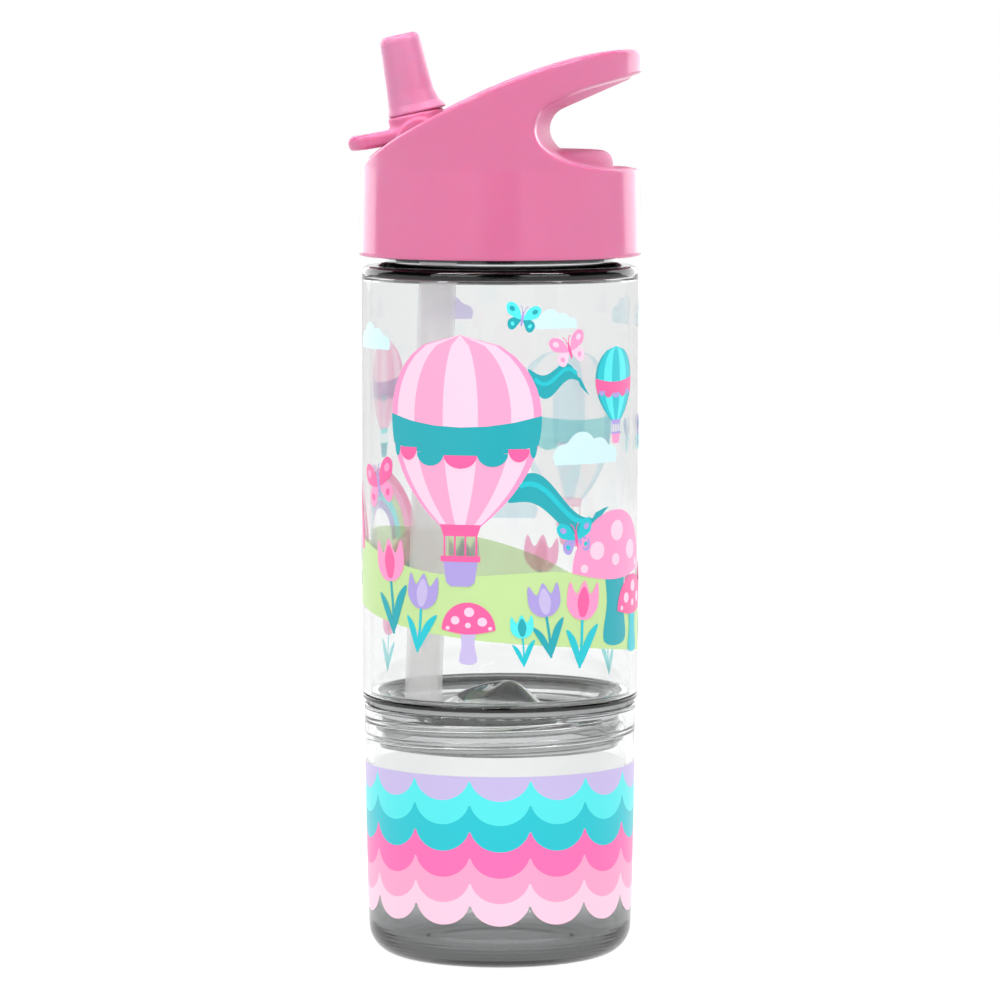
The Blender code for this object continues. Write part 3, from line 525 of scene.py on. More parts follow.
def join_solids(obj: bpy.types.Object, *tools: bpy.types.Mesh) -> None:
    """Unite closed meshes with an object's mesh, and shade the result smooth between sharp edges.

    Args:
        obj: The object whose mesh grows.
        tools: The meshes to unite with it.
    """
    helpers = []
    for tool in tools:
        helper = bpy.data.objects.new(tool.name, tool)
        bpy.context.scene.collection.objects.link(helper)
        helpers.append(helper)
        modifier = obj.modifiers.new(tool.name, "BOOLEAN")
        modifier.operation = "UNION"
        modifier.object = helper
        modifier.solver = "EXACT"
    bpy.context.view_layer.update()
    made = bpy.data.meshes.new_from_object(obj.evaluated_get(bpy.context.evaluated_depsgraph_get()))
    obj.modifiers.clear()
    obj.data = made
    for helper in helpers:
        bpy.data.objects.remove(helper)
    made.shade_smooth()
    made.set_sharp_from_angle(angle=SHARP_ANGLE)


@dataclass(frozen=True)
class Thread:
    """One ridge of a screw thread, tapered out at both ends."""

    wall: float
    crest: float
    top: float
    turns: float
    pitch: float = 4.2
    root_width: float = 1.9
    crest_width: float = 1.0
    corner_width: float = 0.15      # how far the crest's bevel stands out on either side
    land_inset: float = 0.35        # how far the crest's flat is set in
    bevel: float = 0.12             # depth of the bevel, as a share of the ridge's height
    sink: float = 0.4
    end_azimuth: float = -40.0
    run_out: float = 40.0
    start_share: float = 0.1        # height of the ridge at its ends
    steps_per_turn: int = 96

    def mesh(self, name: str) -> bpy.types.Mesh:
        """Loft the ridge along its helix.

        Args:
            name: The mesh's name.

        Returns:
            One closed mesh that reaches a little into its wall.
        """
        steps = round(self.turns * self.steps_per_turn)
        root = self.wall - math.copysign(self.sink, self.crest - self.wall)
        rings = []
        for i in range(steps + 1):
            done = 360 * self.turns * i / steps
            ahead = 360 * self.turns - done
            grown = min(1.0, min(done, ahead) / self.run_out)
            share = self.start_share + (1 - self.start_share) * grown * grown * (3 - 2 * grown)
            radius = self.wall + (self.crest - self.wall) * share
            height = self.top - self.pitch * ahead / 360
            half = ((root, self.root_width),
                    (radius - self.bevel * (self.crest - self.wall) * share,
                     self.crest_width + self.corner_width),
                    (radius, self.crest_width - self.land_inset))
            section = [(r, -w) for r, w in half] + list(half[::-1])
            a = math.radians(self.end_azimuth - ahead)
            rings.append([(r * math.cos(a), r * math.sin(a), height + w / 2) for r, w in section])
        return loft(name, rings)


# --- solids from distance fields -------------------------------------------------------------
def soft_max(a: np.ndarray, b: np.ndarray, blend: float) -> np.ndarray:
    """The larger of two fields, with the edge where they meet rounded over blend millimetres."""
    near = np.maximum(blend - np.abs(a - b), 0) / blend
    return np.maximum(a, b) + near * near * blend / 4


def soft_min(a: np.ndarray, b: np.ndarray, blend: float) -> np.ndarray:
    """The smaller of two fields, with the corner where they meet filled over blend millimetres."""
    return -soft_max(-a, -b, blend)


def outline_distance(u: np.ndarray, v: np.ndarray, outline: Outline) -> np.ndarray:
    """Distance of points to a closed outline in their plane, negative inside.

    Args:
        u: First places of the points.
        v: Second places of the points.
        outline: The outline's corners.

    Returns:
        The signed distance of each point.
    """
    u, v = np.broadcast_arrays(u, v)
    nearest = np.full(u.shape, 1e12)
    sign = np.ones(u.shape)
    for (au, av), (bu, bv) in zip(outline, outline[1:] + outline[:1]):
        eu, ev = bu - au, bv - av
        length = eu * eu + ev * ev
        if length < 1e-12:
            continue
        wu, wv = u - au, v - av
        along = np.clip((wu * eu + wv * ev) / length, 0, 1)
        nearest = np.minimum(nearest, (wu - eu * along) ** 2 + (wv - ev * along) ** 2)
        over, under, left = v >= av, v < bv, eu * wv > ev * wu
        crossed = (over & under & left) | ~(over | under | left)
        sign = np.where(crossed, -sign, sign)
    return sign * np.sqrt(nearest)


def skin_of(name: str, form: Field, low: Sequence[float], high: Sequence[float],
            cell: float) -> bpy.types.Mesh:
    """Mesh the surface where a field is zero, with its points and normals taken from the field.

    Args:
        name: The mesh's name.
        form: The field, negative inside, in millimetres.
        low: The box's lowest corner.
        high: The box's highest corner.
        cell: Size of the grid's cells.

    Returns:
        One closed mesh of quads.
    """
    axes = [np.arange(a, b + cell, cell) for a, b in zip(low, high)]
    values = form(axes[0][:, None, None], axes[1][None, :, None], axes[2][None, None, :])
    values = np.broadcast_to(values, [len(a) for a in axes])
    inside = values < 0
    shape = [n - 1 for n in inside.shape]
    corners = [(i, j, k) for i in (0, 1) for j in (0, 1) for k in (0, 1)]
    cut = [tuple(slice(o, o + n) for o, n in zip(c, shape)) for c in corners]
    count = sum(inside[c].astype(np.int8) for c in cut)
    active = (count > 0) & (count < 8)
    cells = np.argwhere(active)
    number = np.full(shape, -1)
    number[active] = np.arange(len(cells))
    held = np.stack([values[c][active] for c in cut], 1)
    total, hits = np.zeros((len(cells), 3)), np.zeros(len(cells))
    for p, a in enumerate(corners):
        for q, b in enumerate(corners):
            if q > p and sum(x != y for x, y in zip(a, b)) == 1:
                crossed = (held[:, p] < 0) != (held[:, q] < 0)
                share = held[:, p] / np.where(crossed, held[:, p] - held[:, q], 1)
                spot = np.array(a) + share[:, None] * (np.array(b) - np.array(a))
                total += np.where(crossed[:, None], spot, 0)
                hits += crossed
    points = np.array([a[0] for a in axes]) + (cells + total / hits[:, None]) * cell
    faces = []
    for axis in range(3):
        one, two = (axis + 1) % 3, (axis + 2) % 3
        start = np.take(inside, range(inside.shape[axis] - 1), axis)
        end = np.take(inside, range(1, inside.shape[axis]), axis)
        edges = np.argwhere(start != end)
        quad = []
        for da, db in ((-1, -1), (0, -1), (0, 0), (-1, 0)):
            near = edges.copy()
            near[:, one] += da
            near[:, two] += db
            quad.append(number[near[:, 0], near[:, 1], near[:, 2]])
        quads = np.stack(quad, 1)
        outward = start[tuple(edges.T)]
        quads[~outward] = quads[~outward][:, ::-1]
        faces.append(quads)
    step = cell / 25            # half the span that the gradient is measured over

    def slope(at: np.ndarray) -> np.ndarray:
        """Measure the field's gradient.

        Args:
            at: The points.

        Returns:
            The gradient at each.
        """
        parts = []
        for axis in range(3):
            shift = np.zeros(3)
            shift[axis] = step
            ahead, behind = (at + shift).T, (at - shift).T
            parts.append((form(*ahead) - form(*behind)) / (2 * step))
        return np.stack(parts, 1)

    for _ in range(SKIN_PASSES):
        grade = slope(points)
        size = np.maximum((grade ** 2).sum(1), LEAST_SLOPE)
        move = (form(*points.T) / size)[:, None] * grade
        length = np.linalg.norm(move, axis=1)[:, None]
        points = points - move * np.minimum(1, 0.5 * cell / np.maximum(length, 1e-9))
    normals = slope(points)
    normals /= np.maximum(np.linalg.norm(normals, axis=1), 1e-9)[:, None]
    mesh = bpy.data.meshes.new(name)
    mesh.from_pydata((points * MM).tolist(), [], np.concatenate(faces).tolist())
    mesh.shade_smooth()
    mesh.normals_split_custom_set_from_vertices(normals.tolist())
    return mesh


# --- clear bottle ----------------------------------------------------------------------------
@dataclass
class ClearBottle:
    """The bottle's wall with its threaded neck, the base that closes it, and the straw inside."""

    radius: float = 35.0
    wall: float = 2.0
    foot: float = 66.9
    shoulder: float = 175.4
    shoulder_round: float = 3.4
    shoulder_ledge: float = 31.4
    shoulder_under: float = 30.0
    shoulder_depth: float = 2.1
    shoulder_inner_round: float = 2.4
    neck_radius: float = 29.8
    neck_inner: float = 27.0
    neck_root: float = 176.2
    neck_root_depth: float = 2.0
    mouth: float = 193.0
    thread: Thread = Thread(29.8, 31.2, 188.5, 1.75)
    flange_foot: float = 65.4
    flange_top: float = 66.6
    flange_gap: float = 0.3
    ring_width: float = 1.8
    ring_height: float = 1.0
    floor: float = 63.2
    floor_wall: float = 2.0
    floor_radius: float = 27.2
    floor_slope: float = 2.0
    dome_radius: float = 16.5
    dome_rise: float = 5.4
    swirl_depth: float = 1.9
    swirl_twist: float = 3.6
    swirl_below: float = 0.5        # share of the swirl that the dome's lower face follows
    collar_radius: float = 30.2
    collar_wall: float = 2.0
    collar_foot: float = 53.6
    collar_thread: Thread = Thread(30.2, 31.6, 60.0, 1.4)
    straw_radius: float = 4.75
    straw_wall: float = 1.0
    straw_top: Point = (-15.0, 195.0)
    straw_foot: Point = (-19.6, 64.3)

    def build_wall(self) -> bpy.types.Object:
        """Turn the wall, shoulder and neck, with the neck's thread.

        Returns:
            The wall.
        """
        inner, under = self.radius - self.wall, self.shoulder - self.shoulder_depth
        corners = [(self.neck_inner, self.mouth, 0.9), (self.neck_radius, self.mouth, 0.9),
                   (self.neck_radius, self.neck_root, 0.7), (self.shoulder_ledge, self.shoulder, 0.8),
                   (self.radius, self.shoulder, self.shoulder_round), (self.radius, self.foot, 0.35),
                   (inner, self.foot, 0.35), (inner, under, self.shoulder_inner_round),
                   (self.shoulder_under, under, 0.8),
                   (self.neck_inner, self.neck_root - self.neck_root_depth, 0.9)]
        wall = add_object("bottle_wall", lathe("bottle_wall", rounded(corners, True), True),
                          CLEAR_COPOLYESTER.material())
        join_solids(wall, self.thread.mesh("neck_thread"))
        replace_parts(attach(wall, "bottle"), "bottle_body")
        return wall

    def dome(self, base: float, steps: int = 14) -> list[tuple[float, float, float]]:
        """The low dome in the floor's middle.

        Args:
            base: Height of its foot.
            steps: Points along it.

        Returns:
            Corners from its peak out to its foot.
        """
        return [(self.dome_radius * i / steps,
                 base + self.dome_rise * (1 + math.cos(math.pi * i / steps)) / 2, 0.0)
                for i in range(steps + 1)]

    def swirl(self, mesh: bpy.types.Mesh) -> None:
        """Twist the dome, most on its upper face, as the flow mark that the mould's gate leaves there.

        Args:
            mesh: The turned base.
        """
        for vertex in mesh.vertices:
            place = vertex.co / MM
            reach = math.hypot(place.x, place.y) / self.dome_radius
            face = self.floor + self.dome_rise * (1 + math.cos(math.pi * min(reach, 1.0))) / 2
            if reach < 1:
                turn = math.atan2(place.y, place.x) - self.swirl_twist * reach
                share = 1.0 if abs(place.z - face) < self.floor_wall / 2 else self.swirl_below
                rise = self.swirl_depth * math.sin(math.pi * reach) * math.cos(turn)
                vertex.co.z += share * rise * MM

    def build_base(self) -> bpy.types.Object:
        """Turn the floor, flange and threaded collar.

        Returns:
            The base.
        """
        outer = self.radius - self.wall - self.flange_gap
        inner, ring_top = outer - self.ring_width, self.flange_top + self.ring_height
        collar_inner = self.collar_radius - self.collar_wall
        under = self.floor - self.floor_wall
        corners = self.dome(self.floor)
        corners += [(self.floor_radius, self.floor, 1.2),
                    (self.floor_radius + self.floor_slope, self.flange_top, 0.6),
                    (inner, self.flange_top, 0.2), (inner, ring_top, 0.3), (outer, ring_top, 0.3),
                    (outer, self.flange_top, 0.15), (self.radius, self.flange_top, 0.4),
                    (self.radius, self.flange_foot, 0.4), (self.collar_radius, self.flange_foot, 0.4),
                    (self.collar_radius, self.collar_foot, 0.6), (collar_inner, self.collar_foot, 0.6),
                    (collar_inner, under, 0.8)]
        corners += reversed(self.dome(under))
        mesh = lathe("bottle_floor", rounded(corners, False), False)
        self.swirl(mesh)
        base = add_object("bottle_floor", mesh, SMOKE_FLOOR.material())
        join_solids(base, self.collar_thread.mesh("collar_thread"))
        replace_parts(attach(base, "bottle"), "bottle_base")
        return base

    def build_straw(self) -> bpy.types.Object:
        """Turn the straw and lean it from its spigot to the floor's edge.

        Returns:
            The straw.
        """
        top = Vector((self.straw_top[0], 0, self.straw_top[1]))
        foot = Vector((self.straw_foot[0], 0, self.straw_foot[1]))
        length = (top - foot).length
        inner = self.straw_radius - self.straw_wall
        corners = [(inner, 0, 0.2), (self.straw_radius, 0, 0.3), (self.straw_radius, -length, 0.3),
                   (inner, -length, 0.2)]
        mesh = lathe("straw_tube", rounded(corners, True), True, 64)
        lean = math.atan2(top.x - foot.x, top.z - foot.z)
        mesh.transform(Matrix.Translation(top * MM) @ Matrix.Rotation(lean, 4, "Y"))
        straw = add_object("straw_tube", mesh, FROSTED_POLYETHYLENE.material())
        straw.data.set_sharp_from_angle(angle=SHARP_ANGLE)
        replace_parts(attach(straw, "lid"), "straw")
        return straw


# --- snack cup -------------------------------------------------------------------------------
@dataclass
class SnackCup:
    """The smoky cup below the bottle, printed with rows of scallops."""

    height: float = 64.2
    top_radius: float = 34.6
    foot_radius: float = 33.33
    wall: float = 2.4
    floor: float = 3.0
    corner: float = 9.5
    inner_corner: float = 6.0
    mouth_depth: float = 14.0
    rebate_wall: float = 1.6
    rebate_depth: float = 1.2
    recess_radius: float = 19.0
    recess_depth: float = 0.8
    thread: Thread = Thread(32.2, 30.8, 61.65, 1.4)
    scallops: int = 14
    scallop_top: float = 49.3
    scallop_rows: tuple[float, ...] = (43.1, 37.0, 30.3, 23.7, 17.3, 11.6)
    scallop_depth: float = 6.6
    scallop_steps: int = 36
    cusp: float = 0.995             # share of a half circle that each scallop's edge runs through
    inks: tuple[Ink, ...] = (Ink.LAVENDER, Ink.TURQUOISE, Ink.BRIGHT_TEAL, Ink.ROSE, Ink.MID_PINK,
                             Ink.LIGHT_PINK)

    def radius_at(self, height: float) -> float:
        """The outer wall's radius at a height."""
        return self.foot_radius + (self.top_radius - self.foot_radius) * height / self.height

    def build_cup(self) -> bpy.types.Object:
        """Turn the cup, with the thread in its mouth.

        Returns:
            The cup.
        """
        mouth = self.top_radius - self.wall
        rebate = self.top_radius - self.rebate_wall
        inner_low = self.foot_radius - self.wall
        corners = [(0, self.floor, 0), (inner_low, self.floor, self.inner_corner),
                   (mouth, self.height - self.mouth_depth, 3.0),
                   (mouth, self.height - self.rebate_depth, 0.2),
                   (rebate, self.height - self.rebate_depth, 0.15), (rebate, self.height, 0.3),
                   (self.top_radius, self.height, 0.7), (self.foot_radius, 0, self.corner),
                   (self.recess_radius, 0, 0.4),
                   (self.recess_radius - self.recess_depth, self.recess_depth, 0.4),
                   (0, self.recess_depth, 0)]
        cup = add_object("snack_cup_shell", lathe("snack_cup_shell", rounded(corners, False, 10), False),
                         SMOKE_COPOLYESTER.material())
        join_solids(cup, self.thread.mesh("cup_thread"))
        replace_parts(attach(cup, "snack_cup"), "snack_cup")
        return cup

    def scallop_edge(self, low: float) -> Callable[[float], float]:
        """The lower edge of one row.

        Args:
            low: Height of the scallops' lowest points.

        Returns:
            A function from the azimuth in degrees, zero at the front, to the edge's height.
        """
        pitch = 360 / self.scallops

        def edge(azimuth: float) -> float:
            """Height of the edge at an azimuth in degrees."""
            across = ((azimuth / pitch + 0.5) % 1.0 - 0.5) * 2
            return low + self.scallop_depth * (1 - math.sqrt(max(0.0, 1 - (across * self.cusp) ** 2)))

        return edge

    def build_scallops(self) -> list[bpy.types.Object]:
        """Lay the rows of ink round the cup, each up to the edge of the row above.

        Returns:
            One piece for each row.
        """
        pieces = []
        above: Callable[[float], float] = lambda azimuth: self.scallop_top
        for row, (low, ink) in enumerate(zip(self.scallop_rows, self.inks)):
            below = self.scallop_edge(low)
            film = WrapFilm(f"scallop_row_{row + 1}", self.radius_at, ink, white=1.0)
            pieces.append(film.band(above, below, self.scallop_steps * self.scallops))
            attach(pieces[-1], "snack_cup")
            above = below
        return pieces


# --- printed films ---------------------------------------------------------------------------
@dataclass
class WrapFilm:
    """A film of ink wrapped on an upright wall: closed, a few hundredths of a millimetre thick."""

    name: str
    radius_at: Callable[[float], float]
    ink: Ink
    lift: float = 0.03
    layer_lift: float = 0.03
    thickness: float = 0.04
    strip: float = 1.8              # width of the upright strips that follow the wall's curve
    white: float = 0.55

    def wrap(self, flat: list[Point], faces: list[tuple[int, ...]], inks: list[Ink],
             face_inks: list[int], lifts: list[float]) -> bpy.types.Object:
        """Wrap flat faces on the wall and give them thickness.

        Args:
            flat: Points as azimuth in degrees and height.
            faces: Faces of the flat picture.
            inks: The inks in use.
            face_inks: The number of each face's ink.
            lifts: How far each point lies off the wall.

        Returns:
            The film.
        """
        count = len(flat)
        points = []
        for shell in (1, 0):
            for (azimuth, height), lift in zip(flat, lifts):
                radius = self.radius_at(height) + lift + shell * self.thickness
                a = math.radians(azimuth)
                points.append((radius * math.sin(a) * MM, -radius * math.cos(a) * MM, height * MM))
        owner = {(p, q): f for f, face in enumerate(faces) for p, q in zip(face, face[1:] + face[:1])}
        edges = [(p, q) for p, q in owner if (q, p) not in owner]
        rims = [(q, p, p + count, q + count) for p, q in edges]
        rim_inks = [face_inks[owner[edge]] for edge in edges]
        every = faces + [tuple(p + count for p in reversed(face)) for face in faces] + rims
        mesh = bpy.data.meshes.new(self.name)
        mesh.from_pydata(points, [], every)
        slots = [2 * i for i in face_inks] + [2 * i + 1 for i in face_inks] + [2 * i for i in rim_inks]
        materials = [m for ink in inks for m in (ink.face(self.white), ink.back(self.white))]
        obj = add_object(self.name, mesh, *materials)
        mesh.polygons.foreach_set("material_index", slots)
        mesh.set_sharp_from_angle(angle=SHARP_ANGLE)
        return obj

    def band(self, above: Callable[[float], float], below: Callable[[float], float],
             steps: int) -> bpy.types.Object:
        """Lay a band of ink all the way round between two edges.

        Args:
            above: The upper edge's height at an azimuth.
            below: The lower edge's height at an azimuth.
            steps: Faces round the wall.

        Returns:
            The band.
        """
        rows = 3
        flat, faces = [], []
        for k in range(steps):
            azimuth = 360 * (k + 0.5) / steps
            high, low = above(azimuth), below(azimuth)
            flat += [(azimuth, low + (high - low) * r / rows) for r in range(rows + 1)]
        side = rows + 1
        for k in range(steps):
            n = (k + 1) % steps
            faces += [(k * side + r, n * side + r, n * side + r + 1, k * side + r + 1)
                      for r in range(rows)]
        return self.wrap(flat, faces, [self.ink], [0] * len(faces), [self.lift] * len(flat))

    def picture(self, shapes: Sequence[Shape]) -> bpy.types.Object:
        """Lay a picture of filled outlines, each on its own layer of ink.

        Args:
            shapes: Outlines in millimetres along the wall and up it, with ink and layer.

        Returns:
            The picture.
        """
        radius = self.radius_at(0)
        inks: list[Ink] = []
        flat, faces, face_inks, lifts = [], [], [], []
        for outline, ink, layer in shapes:
            if ink not in inks:
                inks.append(ink)
            bm = bmesh.new()
            bm.faces.new([bm.verts.new((u, v, 0)) for u, v in outline])
            bmesh.ops.triangulate(bm, faces=bm.faces)
            low, high = min(u for u, _ in outline), max(u for u, _ in outline)
            for k in range(math.ceil(low / self.strip), math.floor(high / self.strip) + 1):
                bmesh.ops.bisect_plane(bm, geom=bm.verts[:] + bm.edges[:] + bm.faces[:],
                                       plane_co=(k * self.strip, 0, 0), plane_no=(1, 0, 0), dist=1e-5)
            bmesh.ops.recalc_face_normals(bm, faces=bm.faces)
            if sum(f.normal.z for f in bm.faces) < 0:
                bmesh.ops.reverse_faces(bm, faces=bm.faces)
            bm.verts.index_update()
            first = len(flat)
            flat += [(math.degrees(v.co.x / radius), v.co.y) for v in bm.verts]
            lifts += [self.lift + self.layer_lift * layer] * len(bm.verts)
            faces += [tuple(first + v.index for v in f.verts) for f in bm.faces]
            face_inks += [inks.index(ink)] * len(bm.faces)
            bm.free()
        return self.wrap(flat, faces, inks, face_inks, lifts)


# --- spout -----------------------------------------------------------------------------------
@dataclass
class Spout:
    """The hinged drum with its thumb tab, and the soft mouthpiece pushed over its nipple."""

    pivot: Point = (-19.8, 206.5)
    lean: float = 12.0
    drum_radius: float = 6.0
    drum_half: float = 8.7
    trunnion_radius: float = 2.4
    trunnion_reach: float = 11.7
    stem_foot: float = 3.4
    stem_top: float = 7.5
    stem_half_length: float = 7.1
    stem_half_width: float = 8.2
    tab_reach: float = 18.2
    tab_half: float = 7.5
    tab_corner: float = 5.0
    tab_low: float = 0.9
    tab_top: float = 4.6
    tab_bow: float = 0.55           # how far the tab's upper face rises towards its end
    tab_bow_start: float = 8.0
    tab_bow_run: float = 10.0
    tab_bow_below: float = 0.9      # share of the bow that its lower face follows
    tab_round: float = 1.6
    tab_blend: float = 1.2
    nipple_radius: float = 3.4
    nipple_top: float = 16.0
    bore: float = 2.2
    mouth_bore: float = 2.6
    length: float = 27.6
    power: float = 2.35
    shares: tuple[float, ...] = (0.0, 0.035, 0.12, 0.27, 0.6, 0.9, 1.0)
    behind: tuple[float, ...] = (7.9, 7.7, 6.5, 5.7, 5.3, 5.1, 5.0)
    before: tuple[float, ...] = (7.0, 6.8, 6.4, 6.1, 5.6, 5.2, 5.0)
    beside: tuple[float, ...] = (8.0, 7.9, 7.2, 6.8, 6.5, 6.2, 6.1)
    edge: float = 0.9
    drum_edge: float = 0.6
    stem_blend: float = 0.8
    bore_edge: float = 0.3
    fit: float = 0.3                # room round the nipple
    mouth_gap: float = 0.05
    foot_round: float = 0.6
    rim_round: float = 1.9
    sip_round: float = 0.7
    barrel_box: tuple[tuple[float, ...], ...] = ((-19.6, -12.6, -7.2), (8.4, 12.6, 17.2))
    mouth_box: tuple[tuple[float, ...], ...] = ((-7.2, -9.0, 6.6), (8.8, 9.0, 29.0))
    cell: float = 0.4

    def oval(self, x: np.ndarray, y: np.ndarray, back: np.ndarray | float, front: np.ndarray | float,
             half: np.ndarray | float) -> np.ndarray:
        """Distance to a rounded upright prism whose section reaches from -front to back.

        Args:
            x: Places along the lid, from the spout's axis.
            y: Places across it.
            back: Reach towards the hook.
            front: Reach towards the tab.
            half: Half the width.

        Returns:
            The distance, negative inside.
        """
        middle, length = (back - front) / 2, (back + front) / 2
        u, v = np.abs((x - middle) / length), np.abs(y / half)
        size = (u ** self.power + v ** self.power + 1e-9) ** (1 / self.power)
        return (size - 1) * np.minimum(length, half)

    def barrel_form(self, x: np.ndarray, y: np.ndarray, z: np.ndarray) -> np.ndarray:
        """The drum, stem, tab, trunnions and nipple, in the spout's own frame.

        Args:
            x: Places along the lid, from the hinge.
            y: Places across it.
            z: Places along the spout.

        Returns:
            The field, negative in the plastic.
        """
        hinge = np.sqrt(x * x + z * z)
        solid = soft_max(hinge - self.drum_radius, np.abs(y) - self.drum_half, self.drum_edge)
        stem = self.oval(x, y, self.stem_half_length, self.stem_half_length, self.stem_half_width)
        stem = soft_max(soft_max(stem, z - self.stem_top, self.edge), self.stem_foot - z, self.edge)
        solid = soft_min(solid, stem, self.stem_blend)
        corner = self.tab_corner
        du = np.maximum(-x - (self.tab_reach - corner), 0)
        dv = np.maximum(np.abs(y) - (self.tab_half - corner), 0)
        plan = np.sqrt(du * du + dv * dv) - corner
        bow = self.tab_bow * np.clip((-x - self.tab_bow_start) / self.tab_bow_run, 0, 1) ** 2
        tab = soft_max(np.maximum(plan, x), z - self.tab_top - bow, self.tab_round)
        tab = soft_max(tab, self.tab_low + self.tab_bow_below * bow - z, self.tab_blend)
        solid = soft_min(solid, tab, self.tab_blend)
        pins = np.maximum(hinge - self.trunnion_radius, np.abs(y) - self.trunnion_reach)
        solid = np.minimum(solid, pins)
        across = np.sqrt(x * x + y * y)
        nipple = np.maximum(across - self.nipple_radius, np.maximum(z - self.nipple_top, -z))
        return soft_max(np.minimum(solid, nipple), self.bore - across, self.bore_edge)

    def mouth_form(self, x: np.ndarray, y: np.ndarray, z: np.ndarray) -> np.ndarray:
        """The mouthpiece, flared at its foot, in the spout's own frame.

        Args:
            x: Places along the lid, from the hinge.
            y: Places across it.
            z: Places along the spout.

        Returns:
            The field, negative in the rubber.
        """
        foot = self.stem_top + self.mouth_gap
        share = np.clip((z - foot) / (self.length - foot), 0, 1)
        sizes = [np.interp(share, self.shares, row) for row in (self.behind, self.before, self.beside)]
        solid = self.oval(x, y, *sizes)
        solid = soft_max(solid, z - self.length, self.rim_round)
        solid = soft_max(solid, foot - z, self.foot_round)
        across = np.sqrt(x * x + y * y)
        pocket = np.maximum(across - self.nipple_radius - self.fit, z - self.nipple_top - self.fit)
        sip = across - self.mouth_bore
        return soft_max(soft_max(solid, -pocket, self.bore_edge), -sip, self.sip_round)

    def build(self) -> list[bpy.types.Object]:
        """Mesh both pieces and lean them back on the hinge.

        Returns:
            The barrel and the mouthpiece.
        """
        place = (Matrix.Translation(Vector((self.pivot[0], 0, self.pivot[1])) * MM)
                 @ Matrix.Rotation(math.radians(-self.lean), 4, "Y"))
        pieces = []
        for name, form, box, finish, node, slot in (
                ("spout_drum", self.barrel_form, self.barrel_box, PINK_POLYPROPYLENE, "spout_barrel",
                 "pink_polypropylene"),
                ("spout_soft_mouth", self.mouth_form, self.mouth_box, PINK_ELASTOMER,
                 "spout_mouthpiece", "pink_soft_mouthpiece")):
            mesh = skin_of(name, form, *box, self.cell)
            piece = add_object(name, mesh, finish.material())
            mesh.transform(place)
            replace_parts(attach(piece, "spout"), node)
            pieces.append(piece)
        return pieces


# --- lid -------------------------------------------------------------------------------------
def bezier(p0: Point, p1: Point, p2: Point, p3: Point, steps: int) -> Outline:
    """Points along a cubic curve.

    Args:
        p0: Its start.
        p1: The first handle.
        p2: The second handle.
        p3: Its end.
        steps: Pieces of the curve.

    Returns:
        The points, both ends among them.
    """
    points = []
    for i in range(steps + 1):
        t = i / steps
        a, b, c, d = (1 - t) ** 3, 3 * (1 - t) ** 2 * t, 3 * (1 - t) * t * t, t ** 3
        points.append((a * p0[0] + b * p1[0] + c * p2[0] + d * p3[0],
                       a * p0[1] + b * p1[1] + c * p2[1] + d * p3[1]))
    return points


def arc(centre: Point, radius: float, start: float, end: float, steps: int) -> Outline:
    """Points round a circle.

    Args:
        centre: The circle's centre.
        radius: Its radius.
        start: First angle, in degrees.
        end: Last angle, in degrees.
        steps: Pieces of the arc.

    Returns:
        The points, both ends among them.
    """
    turns = [math.radians(start + (end - start) * i / steps) for i in range(steps + 1)]
    return [(centre[0] + radius * math.cos(a), centre[1] + radius * math.sin(a)) for a in turns]


